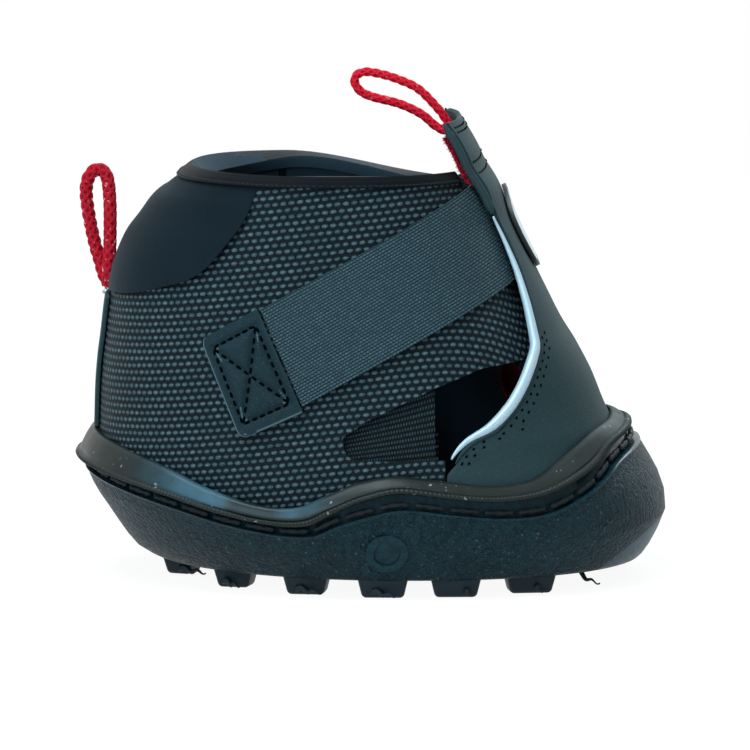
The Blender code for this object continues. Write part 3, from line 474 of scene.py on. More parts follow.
def filled(piece):
    """Close a piece's open loops and turn its faces outward."""
    shape = bmesh.new()
    shape.from_mesh(piece.data)
    bmesh.ops.holes_fill(shape, edges=[e for e in shape.edges if e.is_boundary], sides=0)
    bmesh.ops.recalc_face_normals(shape, faces=shape.faces)
    shape.to_mesh(piece.data)
    shape.free()
    return piece


def chosen(piece):
    """Select a piece alone and make it the active one."""
    bpy.ops.object.select_all(action="DESELECT")
    bpy.context.view_layer.objects.active = piece
    piece.select_set(True)


def smoothed(piece, degrees=40):
    """Smooth shading, with edges sharper than an angle kept crisp."""
    chosen(piece)
    bpy.ops.object.shade_smooth_by_angle(angle=math.radians(degrees))
    return piece


def apply_all(piece):
    """Apply a piece's modifiers in their order."""
    chosen(piece)
    for modifier in list(piece.modifiers):
        bpy.ops.object.modifier_apply(modifier=modifier.name)


def gathered(name, parts):
    """Several meshes as one object."""
    chosen(parts[0])
    for part in parts[1:]:
        part.select_set(True)
    if len(parts) > 1:
        bpy.ops.object.join()
    whole = bpy.context.object
    whole.name = name
    whole.data.name = name
    return whole


sole = smoothed(filled(round_the_boot("moulded_sole", GIRTH_STEPS, sole_profile)))

LUG_LENGTH = 0.0135
LUG_WIDTH = 0.010
LUG_INSET = 0.0004
MIDDLE_LUG_WIDTH = 0.022
LUG_TAPER = 0.0014
LUG_ROUND = 0.0011
LUG_ROOT = 0.001
LUG_TURN_SHARE = 0.3
EDGE_LUG_SHARES = (
    (0.94, 0.72), (0.763, 0.84), (0.634, 0.95), (0.517, 1.05), (0.429, 1.05), (0.31, 1.05),
)
MIDDLE_LUG_SHARES = (-0.440, -0.220, 0.000, 0.250, 0.500)


def lug(spot, turn, length, width):
    """One cleat: a cube whose foot is drawn in and rounded."""
    bpy.ops.object.select_all(action="DESELECT")
    bpy.ops.mesh.primitive_cube_add(size=1.0)
    made = bpy.context.object
    for vertex in made.data.vertices:
        taper = LUG_TAPER if vertex.co.z < 0 else 0.0
        vertex.co.x *= length - 2 * taper
        vertex.co.y *= width - 2 * taper
        vertex.co.z = 0.0 if vertex.co.z < 0 else SOLE_BASE + LUG_ROOT
    bevel = made.modifiers.new("rounding", "BEVEL")
    bevel.width = LUG_ROUND
    bevel.segments = 4
    bpy.ops.object.modifier_apply(modifier=bevel.name)
    made.data.transform(Matrix.Translation((spot[0], spot[1], 0)) @ Matrix.Rotation(turn, 4, "Z"))
    return made


lugs, lug_spots = [], []
for turn_share, length_share in EDGE_LUG_SHARES:
    angle = math.pi * turn_share
    edge = skin(angle, SOLE_BASE, RIM_WIDTH, level=True)
    out = unit(skin(angle, SOLE_BASE, RIM_WIDTH * 2, level=True) - edge)
    facing = math.atan2(out[1], out[0]) + math.pi / 2
    turn = facing * LUG_TURN_SHARE
    lean = facing - turn
    length = LUG_LENGTH * length_share
    reach = abs(math.cos(lean)) * LUG_WIDTH / 2 + abs(math.sin(lean)) * length / 2
    spot = edge - out * (reach + LUG_INSET)
    lug_spots.append(spot[:2])
    for hand in (1, -1):
        lugs.append(lug((spot[0], spot[1] * hand), turn * hand, length, LUG_WIDTH))
for share in MIDDLE_LUG_SHARES:
    lugs.append(lug((share * TOE_REACH, 0.0), 0.0, LUG_LENGTH, MIDDLE_LUG_WIDTH))
tread = smoothed(gathered("tread_lugs", lugs), 50)

TOE_BEVEL_SLOPE, TOE_BEVEL_HEIGHT = 0.66, -0.0355
# Vulcanised rubber from a grained steel mould: slate black, satin, with a leather-like grain whose valleys
# are painted dark as shade, and pale flecks where the grain is rubbed; its lip and the bevel under the toe
# are smooth and shiny.
sole_rubber, tree, shader, coords = start_material("moulded_rubber", "#17292f", 0.42, 0.08)
spread = add_node(tree, "ShaderNodeTexNoise",
                  {"Vector": coords["Object"], "Scale": per_metre(3.846), "Detail": 2.0})
grain_place = add_node(tree, "ShaderNodeMixRGB",
                       {0: 0.012, 1: coords["Object"], 2: spread.outputs["Color"]}, blend_type="ADD")
grain = add_node(tree, "ShaderNodeTexVoronoi",
                 {"Vector": grain_place, "Scale": per_metre(2.083)}, feature="SMOOTH_F1")
rough_grain = add_node(tree, "ShaderNodeTexNoise",
                       {"Vector": coords["Object"], "Scale": per_metre(1.111),
                        "Detail": 4.0, "Distortion": 1.2})
place = add_node(tree, "ShaderNodeSeparateXYZ", {0: coords["Object"]}).outputs
slope = add_node(tree, "ShaderNodeMath", {0: place["X"], 1: TOE_BEVEL_SLOPE, 2: TOE_BEVEL_HEIGHT},
                 operation="MULTIPLY_ADD")
below = add_node(tree, "ShaderNodeMath", {0: slope, 1: place["Z"]}, operation="SUBTRACT")
bevelled = add_node(tree, "ShaderNodeMapRange", {"Value": below, "From Min": -0.0002, "From Max": 0.0006})
from_top = add_node(tree, "ShaderNodeSeparateXYZ", {0: coords["UV"]}).outputs["Y"]
lip = add_node(tree, "ShaderNodeMapRange", {"Value": from_top, "From Min": -1.1, "From Max": -0.7})
polished = add_node(tree, "ShaderNodeMath", {0: bevelled, 1: lip}, operation="MAXIMUM")
grained = add_node(tree, "ShaderNodeMath", {0: 1.0, 1: polished}, operation="SUBTRACT")
heights = add_node(tree, "ShaderNodeMath", {0: rough_grain, 1: grain}, operation="SUBTRACT")
height = add_node(tree, "ShaderNodeMath", {0: heights, 1: grained}, operation="MULTIPLY")
bump = add_node(tree, "ShaderNodeBump", {"Height": height, "Strength": 1.0, "Distance": 0.0014})
fleck = add_node(tree, "ShaderNodeTexNoise",
                 {"Vector": coords["Object"], "Scale": per_metre(0.909), "Detail": 1.0})
spots = add_node(tree, "ShaderNodeMapRange",
                 {"Value": fleck, "From Min": 0.68, "From Max": 0.76, "To Max": 0.25})
spotted = add_node(tree, "ShaderNodeMath", {0: spots, 1: grained}, operation="MULTIPLY")
cloud = add_node(tree, "ShaderNodeTexNoise",
                 {"Vector": coords["Object"], "Scale": per_metre(38.46), "Detail": 3.0})
base = add_node(tree, "ShaderNodeMixRGB", {0: cloud, 1: linear("#162d34"), 2: linear("#233e46")})
# Painted shade: the grain's low places are darkened toward near black.
painted_valley_shade = add_node(tree, "ShaderNodeMapRange",
                  {"Value": heights, "From Min": -0.15, "From Max": 0.35, "To Min": 0.55})
shaded = add_node(tree, "ShaderNodeMixRGB", {0: painted_valley_shade, 1: linear("#060d11"), 2: base})
smooth = add_node(tree, "ShaderNodeMixRGB", {0: bevelled, 1: shaded, 2: linear("#34484f")})
tint = add_node(tree, "ShaderNodeMixRGB", {0: spotted, 1: smooth, 2: linear("#8fa6ad")})
satin = add_node(tree, "ShaderNodeMapRange",
                 {"Value": rough_grain, "From Min": 0.3, "From Max": 0.7,
                  "To Min": 0.30, "To Max": 0.52})
gloss = add_node(tree, "ShaderNodeMath", {0: lip, 1: -0.16, 2: satin}, operation="MULTIPLY_ADD")
connect(tree, shader, {"Base Color": tint, "Roughness": gloss, "Normal": bump})

# The tread's rubber: the same, from a polished part of the mould, dull and evenly scuffed.
lug_rubber, tree, shader, coords = start_material("tread_rubber", "#121f25", 0.5, 0.2)
scuff = add_node(tree, "ShaderNodeTexNoise",
                 {"Vector": coords["Object"], "Scale": per_metre(4.167), "Detail": 5.0})
tint = add_node(tree, "ShaderNodeMixRGB", {0: scuff, 1: linear("#101d23"), 2: linear("#1a2a32")})
bump = add_node(tree, "ShaderNodeBump", {"Height": scuff, "Strength": 0.2, "Distance": 0.0002})
connect(tree, shader, {"Base Color": tint, "Normal": bump})


# Ring bosses: a low round rim with a hollow in it on each side of the sole's wall, moulded in
# one with the rubber. Here a disc is joined to the wall and a smaller one is cut out of it.
BOSS_RADIUS = 0.0058
BOSS_BORE = 0.0037
BOSS_RAISE = 0.0006
BOSS_DEPTH = 0.0030
BOSS_SIDES = 48
BOSS_SHARES = (0.058, 0.106)


def dress(piece, material, body="boot", replaced=()):
    """Give a finished piece its material, its body and the CAD nodes that it stands for."""
    piece.data.materials.clear()
    piece.data.materials.append(material)
    if body:
        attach(piece, body)
    if replaced:
        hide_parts(*replaced)
    return piece


HALVINGS = 20


def found(test, low, high, like):
    """Halve a range of angles, for many at once, down to where test turns from true to false."""
    low, high = np.full(np.shape(like), low, float), np.full(np.shape(like), high, float)
    for _ in range(HALVINGS):
        middle = (low + high) / 2
        beyond = test(middle)
        low, high = np.where(beyond, middle, low), np.where(beyond, high, middle)
    return (low + high) / 2


def angle_at(x, z, distance):
    """The near side's angle where the skin at a height and distance has this X."""
    x, z, distance = np.broadcast_arrays(*(np.asarray(a, float) for a in (x, z, distance)))
    return found(lambda angle: skin(angle, z, distance)[..., 0] > x, 0.0, math.pi, x)


def trim(piece, cutter, operation):
    """Cut a piece with a cutter, or join them, and take the cutter away."""
    step = piece.modifiers.new("outline", "BOOLEAN")
    step.object, step.operation, step.solver = cutter, operation, "EXACT"
    apply_all(piece)
    bpy.data.objects.remove(cutter, do_unlink=True)
    return piece


boss_x, boss_z = BOSS_SHARES[0] * TOE_REACH, BOSS_SHARES[1] * FORM_HEIGHT
boss_angle = float(angle_at(boss_x, boss_z, RIM_WIDTH))
for hand in (1, -1):
    centre, further, higher = (
        Vector(skin(hand * boss_angle, z, far, level=True))
        for z, far in ((boss_z, RIM_WIDTH), (boss_z, RIM_WIDTH * 2), (boss_z + BOSS_RADIUS, RIM_WIDTH))
    )
    up = (higher - centre).normalized()
    out = up.cross(further - centre).cross(up).normalized()
    for radius, middle, operation in ((BOSS_RADIUS, BOSS_RAISE - BOSS_DEPTH / 2, "UNION"),
                                      (BOSS_BORE, BOSS_DEPTH / 2, "DIFFERENCE")):
        bpy.ops.object.select_all(action="DESELECT")
        bpy.ops.mesh.primitive_cylinder_add(vertices=BOSS_SIDES, radius=radius, depth=BOSS_DEPTH)
        cutter = bpy.context.object
        cutter.data.transform(Matrix.Translation(centre + out * middle)
                              @ out.to_track_quat("Z", "Y").to_matrix().to_4x4())
        trim(sole, cutter, operation)
dress(smoothed(sole), sole_rubber, replaced=["outsole"])
dress(tread, lug_rubber)

# Moulding whiskers: thin curls of rubber that the mould's vents leave on the lugs' feet, of the
# tread's own rubber. Each row gives a lug, a shift along it, an inset, and the reach ahead and out.
WHISKER_RADIUS = 0.0009
WHISKER_KNOTS = 18
WHISKER_FLOOR = 0.0008
WHISKER_WAVE = 0.0009
WHISKER_WAVES = 2.2
WHISKER_TAPER = 0.75
WHISKER_LIFT = 0.0012
WHISKERS = (
    (0, -0.0010, 0.0044, 0.0076, 0.0052), (1, -0.0035, 0.0042, 0.0048, 0.0050),
    (2, -0.0030, 0.0040, 0.0072, 0.0042), (3, -0.0030, 0.0040, 0.0066, 0.0038),
    (4, 0.0030, 0.0042, 0.0012, 0.0030), (5, 0.0020, 0.0040, 0.0016, 0.0036),
)
TOE_WHISKER = (0.0560, -0.0300, 0.0070, 0.0062)
TOE_WHISKER_LIFT = 0.0052


def whisker(root, ahead, out, lift):
    """A pointed curl from a root, running ahead and outward as it drops."""
    shares = np.linspace(0, 1, WHISKER_KNOTS)
    wave = WHISKER_WAVE * np.sin(WHISKER_WAVES * math.pi * shares) ** 2
    height = WHISKER_FLOOR + lift * (1 - shares) ** 3 + wave
    path = np.stack([root[0] + ahead * shares, root[1] - out * shares ** 1.5, height], axis=1)
    total = math.hypot(ahead, out)

    def tapered(turn, along):
        size = WHISKER_RADIUS * (1 - WHISKER_TAPER * np.clip(along / total, 0, 1) ** 1.5)
        return size * np.cos(turn), size * np.sin(turn)

    return swept("vent_whisker", path, 8, tapered, (0, 0, 1))


whiskers = []
for index, shift, inset, ahead, out in WHISKERS:
    x, y = lug_spots[index]
    whiskers.append(whisker((x + shift, y - inset), ahead, out, WHISKER_LIFT))
whiskers.append(whisker(TOE_WHISKER[:2], *TOE_WHISKER[2:], TOE_WHISKER_LIFT))


def mirrored(piece, name):
    """The far side's twin of a near piece."""
    twin = piece.copy()
    twin.data = piece.data.copy()
    twin.name = name
    twin.data.name = name
    bpy.context.scene.collection.objects.link(twin)
    twin.data.transform(Matrix.Diagonal((1.0, -1.0, 1.0, 1.0)))
    twin.data.flip_normals()
    return twin


def dress_pair(piece, material, node, bodies=("boot", "boot")):
    """Dress a near piece and its far twin, each for the CAD nodes of its own side."""
    twin = mirrored(piece, piece.name.replace("near", "far"))
    for made, word, body in ((piece, "near", bodies[0]), (twin, "far", bodies[1])):
        dress(made, material, body, [f"{node}_{word}"] if node else [])
    return piece, twin


near_whiskers = gathered("vent_whiskers_near", whiskers)
near_whiskers.data.shade_smooth()
dress_pair(near_whiskers, lug_rubber, None)

# Footbed: a closed-cell foam pad under the hoof, cut to the sole's floor and laid in loose. Its
# upper edge is rounded by wear.
FOOTBED_THICKNESS = 0.0030
FOOTBED_INSET = 0.0030
FOOTBED_MIDDLE = -0.012
FOOTBED_STEPS = 128
FOOTBED_FOOT_ROUND = ((0.0, 0.0004), (0.0005, 0.0))
FOOTBED_TOP_ROUND = ((0.0008, 0.0), (0.0002, 0.0003), (0.0, 0.001))


def pad_profile(angle):
    """The pad's section: along its underside, up its rounded edge and back over its top."""
    flat = 0 * angle
    low = flat + SOLE_FLOOR + CLEARANCE
    high = low + FOOTBED_THICKNESS
    edge = flat - FOOTBED_INSET
    rows = [(low, flat + FOOTBED_MIDDLE)]
    rows += [(low + rise, edge - inset) for rise, inset in FOOTBED_FOOT_ROUND]
    rows += [(high - drop, edge - inset) for drop, inset in FOOTBED_TOP_ROUND]
    rows.append((high, flat + FOOTBED_MIDDLE))
    return rows


# Foam with a brushed cloth face: near black and matt, with a fine nap.
foam, tree, shader, coords = start_material("footbed_foam", "#15191c", 0.9)
fuzz = add_node(tree, "ShaderNodeTexNoise",
                {"Vector": coords["Object"], "Scale": per_metre(0.8333), "Detail": 3.0})
bump = add_node(tree, "ShaderNodeBump", {"Height": fuzz, "Strength": 0.5, "Distance": 0.0003})
connect(tree, shader, {"Normal": bump})
footbed = smoothed(filled(round_the_boot("insole_pad", FOOTBED_STEPS, pad_profile)))
dress(footbed, foam, replaced=["footbed"])

# Sole stitching: thick three-ply waxed thread that holds the upper to the sole, in long stitches
# laid end to end in the groove above the wall. Each end dips where it goes through the rubber.
THREAD_RADIUS = 0.0009
THREAD_SIDES = 12
PLY_MEAN, PLY_RELIEF = 0.86, 0.16
PLY_COUNT = 3
PLY_PITCH = 0.0036
STITCH_PITCH = 0.0096
STITCH_SHARE = 0.86
STITCH_END = 0.0016
STITCH_TIP = 0.35
STITCH_KNOTS = 17
fine = np.linspace(0, 2 * math.pi, 2001)
line = skin(fine, wall_top(fine) + CLEARANCE + THREAD_RADIUS,
            np.full(len(fine), FLANGE_FOOT + CLEARANCE + THREAD_RADIUS), level=True)
along = np.concatenate([[0], np.cumsum(np.linalg.norm(np.diff(line, axis=0), axis=1))])
count = int(along[-1] / STITCH_PITCH)
threads = []
for index in range(count):
    start = along[-1] * index / count
    places = np.linspace(start, start + along[-1] / count * STITCH_SHARE, STITCH_KNOTS)
    path = np.stack([np.interp(places, along, line[:, axis]) for axis in range(3)], axis=1)
    total = places[-1] - places[0]

    def strand(turn, reach, total=total):
        ends = np.clip(np.minimum(reach, total - reach) / STITCH_END, 0.0, 1.0)
        size = THREAD_RADIUS * (STITCH_TIP + (1 - STITCH_TIP) * np.sqrt(1 - (1 - ends) ** 2))
        ply = PLY_MEAN + PLY_RELIEF * np.cos(PLY_COUNT * turn + reach * 2 * math.pi / PLY_PITCH)
        return size * ply * np.cos(turn), size * ply * np.sin(turn)

    threads.append(swept("sole_thread", path, THREAD_SIDES, strand, (0, 0, 1)))
# Waxed polyester thread, twisted: dark grey with darker valleys between its plies, half matt.
waxed_thread, tree, shader, coords = start_material("waxed_thread", "#12181b", 0.6, 0.15)
twist = add_node(tree, "ShaderNodeTexNoise",
                 {"Vector": coords["Object"], "Scale": per_metre(0.4545), "Detail": 2.0})
tint = add_node(tree, "ShaderNodeMixRGB", {0: twist, 1: linear("#06090b"), 2: linear("#1f292e")})
connect(tree, shader, {"Base Color": tint})
stitching = gathered("groove_stitching", threads)
stitching.data.shade_smooth()
dress(stitching, waxed_thread, replaced=["sole_stitching"])

# Edge band: a strip of glossy rubber glued over the joint of sole and upper. It flares outward at
# the heel, and its lower edge is rolled out and knurled.
BAND_THICKNESS = 0.0018
BAND_FLARE = 0.0026
BAND_HEEL_FLARE = 0.0018
BAND_SWELL = 0.0003
BAND_FACE = ((0.95, 0.0001), (0.86, 0.0), (0.7, 0.0), (0.55, 0.0), (0.4, 0.0), (0.30, 0.0001))
BAND_NECK_SHARE, BAND_NECK_HEIGHT, BAND_NECK_DEPTH = 0.24, 0.00175, 0.0004
BAND_RIM = ((0.0013, -0.0001), (0.0008, 0.0002), (0.0003, 0.0))
KNURL_PITCH = 0.0011
KNURL_DEPTH = 0.00035
BAND_STEPS = 1760


def band_profile(angle):
    """The band's section: over its top, down its face, round the knurled rim and up its back."""
    foot, top = band_foot(angle), band_top(angle)
    heel = np.maximum(0.0, -np.cos(angle)) ** 4
    inner_foot = CLEARANCE + BAND_FLARE + BAND_HEEL_FLARE * heel
    outer_foot = inner_foot + BAND_THICKNESS
    inner_top = CLEARANCE + 0 * angle
    outer_top = inner_top + BAND_THICKNESS
    knurl = KNURL_DEPTH * (0.5 + 0.5 * np.cos(angle * round(GIRTH / KNURL_PITCH)))

    def face(share):
        return outer_foot + (outer_top - outer_foot) * share + BAND_SWELL * np.sin(math.pi * share)

    rows = [(top, inner_top), (top + 0.0001, (inner_top + outer_top) / 2), (top, outer_top - 0.0005)]
    rows += [(foot + (top - foot) * share, face(share) - inward) for share, inward in BAND_FACE]
    rows.append((foot + BAND_NECK_HEIGHT, face(BAND_NECK_SHARE) - BAND_NECK_DEPTH))
    rows += [(foot + rise, outer_foot + reach + knurl) for rise, reach in BAND_RIM]
    rows += [(foot, outer_foot - 0.0004), (foot, (inner_foot + outer_foot) / 2), (foot, inner_foot)]
    rows += [((foot + top) / 2, (inner_foot + inner_top) / 2), (top, inner_top)]
    return rows


WORN_FROM, WORN_TO = 0.02, 0.06
WAIST_X, WAIST_FROM, WAIST_TO = -0.037, 0.034, 0.010
REFLECTION_FROM, REFLECTION_TO = 4.6, 5.6
# Glossy rubber, brown black, with a painted blue-grey reflection along the waist, worn dull at the toe.
band_rubber, tree, shader, coords = start_material("glossy_band_rubber", "#33372f", 0.3, 0.2)
place = add_node(tree, "ShaderNodeSeparateXYZ", {0: coords["Object"]}).outputs
dull = add_node(tree, "ShaderNodeMapRange",
                {"Value": place["X"], "From Min": WORN_FROM, "From Max": WORN_TO,
                 "To Min": 0.34, "To Max": 0.6})
smear = add_node(tree, "ShaderNodeTexNoise",
                 {"Vector": coords["Object"], "Scale": per_metre(16.67), "Detail": 4.0})
smear_share = add_node(tree, "ShaderNodeMapRange",
                       {"Value": smear, "From Min": 0.35, "From Max": 0.7,
                        "To Min": -0.04, "To Max": 0.12})
gloss = add_node(tree, "ShaderNodeMath", {0: dull, 1: smear_share}, operation="ADD")
specks = add_node(tree, "ShaderNodeTexNoise",
                  {"Vector": coords["Object"], "Scale": per_metre(1.429), "Detail": 1.0})
speck_share = add_node(tree, "ShaderNodeMapRange",
                       {"Value": specks, "From Min": 0.72, "From Max": 0.78, "To Max": 0.7})
dark_rubber = add_node(tree, "ShaderNodeMixRGB", {0: smear, 1: linear("#0f1617"), 2: linear("#1f2622")})
# Painted reflection: the band's face above its rim is tinted blue grey about the waist, in cloudy patches.
across = add_node(tree, "ShaderNodeMath", {0: place["X"], 1: WAIST_X}, operation="SUBTRACT")
away = add_node(tree, "ShaderNodeMath", {0: across}, operation="ABSOLUTE")
waist = add_node(tree, "ShaderNodeMapRange",
                 {"Value": away, "From Min": WAIST_FROM, "From Max": WAIST_TO},
                 interpolation_type="SMOOTHSTEP")
above_wall = add_node(tree, "ShaderNodeSeparateXYZ", {0: coords["UV"]}).outputs["Y"]
over_rim = add_node(tree, "ShaderNodeMapRange",
                    {"Value": above_wall, "From Min": REFLECTION_FROM, "From Max": REFLECTION_TO},
                    interpolation_type="SMOOTHSTEP")
painted_reflection = add_node(tree, "ShaderNodeMath", {0: waist, 1: over_rim}, operation="MULTIPLY")
cloudy = add_node(tree, "ShaderNodeMapRange",
                  {"Value": smear, "From Min": 0.38, "From Max": 0.64, "To Min": 0.12})
painted_reflection_share = add_node(tree, "ShaderNodeMath", {0: painted_reflection, 1: cloudy}, operation="MULTIPLY")
tint = add_node(tree, "ShaderNodeMixRGB", {0: painted_reflection_share, 1: dark_rubber, 2: linear("#3e606f")})
speckled = add_node(tree, "ShaderNodeMixRGB", {0: speck_share, 1: tint, 2: linear("#9aa7a6")})
waves = add_node(tree, "ShaderNodeTexNoise",
                 {"Vector": coords["Object"], "Scale": per_metre(6.667), "Detail": 2.0})
bump = add_node(tree, "ShaderNodeBump", {"Height": waves, "Strength": 0.22, "Distance": 0.0008})
connect(tree, shader, {"Base Color": speckled, "Roughness": gloss, "Normal": bump})
band = round_the_boot("rubber_edge_band", BAND_STEPS, band_profile)
band.data.shade_smooth()
dress(filled(band), band_rubber, replaced=["edge_band"])

# Gussets: fine dark webbing let in behind each side's cut-out and bound at its front edge. It is
# cut as one four-cornered piece and sewn to the quarter's inner face.
QUARTER_THICKNESS = 0.0014
LINING_FACE = -QUARTER_THICKNESS - CLEARANCE
GUSSET_THICKNESS = 0.0010
GUSSET_SHARES = ((-0.130, 0.285), (-0.150, 0.400), (0.225, 0.478), (0.229, 0.300))
FILAMENTS_ACROSS = 7.36


def yarn_beads(tree, vector, pitch, rise, shift, fill):
    """Woven yarn seen as rows of beads, sizes in mm: the bead's height, and a number for each bead."""
    place = add_node(tree, "ShaderNodeSeparateXYZ", {0: vector}).outputs
    column = add_node(tree, "ShaderNodeMath", {0: place["X"], 1: pitch}, operation="DIVIDE")
    level = add_node(tree, "ShaderNodeMath", {0: place["Y"], 1: rise}, operation="DIVIDE")
    row = add_node(tree, "ShaderNodeMath", {0: level}, operation="FLOOR")
    moved = add_node(tree, "ShaderNodeMath", {0: row, 1: shift, 2: column}, operation="MULTIPLY_ADD")
    far = 0.0
    for run, share in ((level, fill[1]), (moved, fill[0])):
        part = add_node(tree, "ShaderNodeMath", {0: run}, operation="FRACT")
        centred = add_node(tree, "ShaderNodeMath", {0: part, 1: 0.5}, operation="SUBTRACT")
        reach = add_node(tree, "ShaderNodeMath", {0: centred, 1: share}, operation="DIVIDE")
        far = add_node(tree, "ShaderNodeMath", {0: reach, 1: reach, 2: far}, operation="MULTIPLY_ADD")
    inside = add_node(tree, "ShaderNodeMath", {0: 1.0, 1: far}, operation="SUBTRACT")
    above = add_node(tree, "ShaderNodeMath", {0: inside, 1: 0.0}, operation="MAXIMUM")
    height = add_node(tree, "ShaderNodeMath", {0: above}, operation="SQRT")
    bead = add_node(tree, "ShaderNodeMath", {0: moved}, operation="FLOOR")
    cell = add_node(tree, "ShaderNodeCombineXYZ", {"X": bead, "Y": row})
    number = add_node(tree, "ShaderNodeTexWhiteNoise", {"Vector": cell}, noise_dimensions="2D")
    return height, number.outputs["Value"]


def woven_material(name, pitch, rise, shift, dark, light, glint, relief, wobble, fill):
    """A cloth of thick yarn: rows of beads over gaps painted dark as shade, with a painted highlight on the
    beads' crowns, each bead a little different.
    """
    material, tree, shader, coords = start_material(name, light, 0.55, 0.08)
    stray = add_node(tree, "ShaderNodeTexNoise", {"Vector": coords["UV"], "Scale": 1 / 2.857, "Detail": 3.0})
    pulled = add_node(tree, "ShaderNodeMixRGB",
                      {0: wobble, 1: coords["UV"], 2: stray.outputs["Color"]}, blend_type="ADD")
    height, number = yarn_beads(tree, pulled, pitch, rise, shift, fill)
    strands = add_node(tree, "ShaderNodeTexNoise",
                       {"Vector": coords["UV"], "Scale": FILAMENTS_ACROSS / pitch,
                        "Detail": 2.0, "Distortion": 0.6})
    # Painted shade in the gaps between beads, and a painted highlight on each bead's crown.
    lit = add_node(tree, "ShaderNodeMapRange", {"Value": height, "From Min": 0.0, "From Max": 0.55})
    crown = add_node(tree, "ShaderNodeMapRange", {"Value": height, "From Min": 0.55, "From Max": 0.95})
    uneven = add_node(tree, "ShaderNodeMath", {0: number, 1: 0.5, 2: 0.5}, operation="MULTIPLY_ADD")
    paled = add_node(tree, "ShaderNodeMath", {0: crown, 1: uneven}, operation="MULTIPLY")
    shade = add_node(tree, "ShaderNodeMixRGB", {0: paled, 1: linear(light), 2: linear(glint)})
    strand_share = add_node(tree, "ShaderNodeMapRange",
                            {"Value": strands, "From Min": 0.35, "From Max": 0.65,
                             "To Min": 0.25, "To Max": 1.0})
    seen = add_node(tree, "ShaderNodeMath", {0: lit, 1: strand_share}, operation="MULTIPLY")
    tint = add_node(tree, "ShaderNodeMixRGB", {0: seen, 1: linear(dark), 2: shade})
    surface = add_node(tree, "ShaderNodeMath", {0: strands, 1: 0.25, 2: height}, operation="MULTIPLY_ADD")
    bump = add_node(tree, "ShaderNodeBump", {"Height": surface, "Strength": 1.0, "Distance": relief})
    connect(tree, shader, {"Base Color": tint, "Normal": bump})
    return material


def sheet_on(name, columns, rows, place, thickness):
    """A sheet whose outer face place(u, v) gives with its pattern, thickened inward."""
    piece = laid_grid(name, columns, rows, place)
    wall = piece.modifiers.new("thickness", "SOLIDIFY")
    wall.thickness = thickness
    wall.offset = -1.0
    wall.use_even_offset = True
    apply_all(piece)
    return piece


def real_outline(shares):
    """A side outline in metres, from shares of the toe's reach and of the form's height."""
    return [(x * TOE_REACH, z * FORM_HEIGHT) for x, z in shares]


def four_sided(corners, distance, relief=None):
    """A four-cornered side piece on the near side: corners foot rear, top rear, top front, foot front."""
    corners = np.asarray(corners)
    rear = np.linalg.norm(corners[1] - corners[0]) * 1000
    foot = np.linalg.norm(corners[3] - corners[0]) * 1000

    def place(u, v):
        low = corners[0] + (corners[3] - corners[0]) * np.asarray(u)[..., None]
        high = corners[1] + (corners[2] - corners[1]) * np.asarray(u)[..., None]
        spot = low + (high - low) * np.asarray(v)[..., None]
        face = distance + (relief(u * foot, v * rear) if relief else 0 * u)
        points = skin(angle_at(spot[..., 0], spot[..., 1], distance), spot[..., 1], face)
        return points, np.stack([u * foot, v * rear], axis=-1) / 1000

    return place


# Spun nylon webbing: near black, with a painted highlight on a fine row of picks.
gusset_webbing = woven_material("gusset_webbing", 0.75, 1.05, 0.5, "#03070a", "#15252c", "#3f535b",
                                0.0003, 0.05, (0.47, 0.42))
gusset = sheet_on("gusset_near_webbing", 60, 50, four_sided(real_outline(GUSSET_SHARES), LINING_FACE),
                  GUSSET_THICKNESS)
dress_pair(smoothed(gusset), gusset_webbing, "gusset")

# Quarters: one near, one far, cut from coarse basket-woven nylon whose yarn stands out as rows of
# beads. The rows climb toward the toe; the cut-out and the window are cut from the cloth.
COLLAR_HEIGHT = 0.114
HEM_WIDTH = 0.0100
WING_GAP = 0.0400
HEM_FOOT_SHARE = 0.508
HEM_TOP_SHARE = 0.690
QUARTER_TUCK_SHARE = 0.55
CUTTER_REACH = 0.2
CUTTER_TOP = 0.15
OUTLINE_STEP = 0.0015
CUFF_GAP = 0.0001
WINDOW_FRONT = 0.093
QUARTER_GRID = (230, 120)
CUFF_EDGE_SHARES = (
    (-1.150, 0.618), (-0.938, 0.630), (-0.835, 0.642), (-0.751, 0.657), (-0.661, 0.675),
    (-0.591, 0.703), (-0.521, 0.752), (-0.455, 0.806), (-0.408, 0.877), (-0.390, 0.960),
)
WINDOW_SHARES = (
    (0.264, 0.301), (-0.030, 0.301), (-0.072, 0.307), (-0.096, 0.325), (-0.098, 0.351),
    (-0.010, 0.386), (0.231, 0.454), (0.391, 0.491), (0.543, 0.503), (0.800, 0.508),
)
ROW_RISE = ((-0.080, 0.0), (-0.040, 0.0048), (0.0, 0.0095), (0.020, 0.0112), (0.031, 0.0100),
            (0.042, 0.0055), (0.060, -0.004))
BEAD_PITCH = 2.3
BEAD_RISE = 1.85


def slid(angle, z, distance, run):
    """The angle reached by sliding along the skin, away from the toe, by a length."""
    step = np.linalg.norm(skin(angle + LAST_STEP, z, distance) - skin(angle, z, distance), axis=-1)
    return angle + run * LAST_STEP / step


def angle_across(half, z, distance):
    """The angle where the skin is this far from the middle plane, ahead of the widest station."""
    half, z, distance = np.broadcast_arrays(*(np.asarray(a, float) for a in (half, z, distance)))
    return found(lambda angle: -skin(angle, z, distance)[..., 1] < half, 0.0, math.pi / 2, half)


def quarter_foot(angle):
    """The lower edge of the upper, tucked inside the sole's wall."""
    return SOLE_FLOOR + (wall_top(angle) - SOLE_FLOOR) * QUARTER_TUCK_SHARE


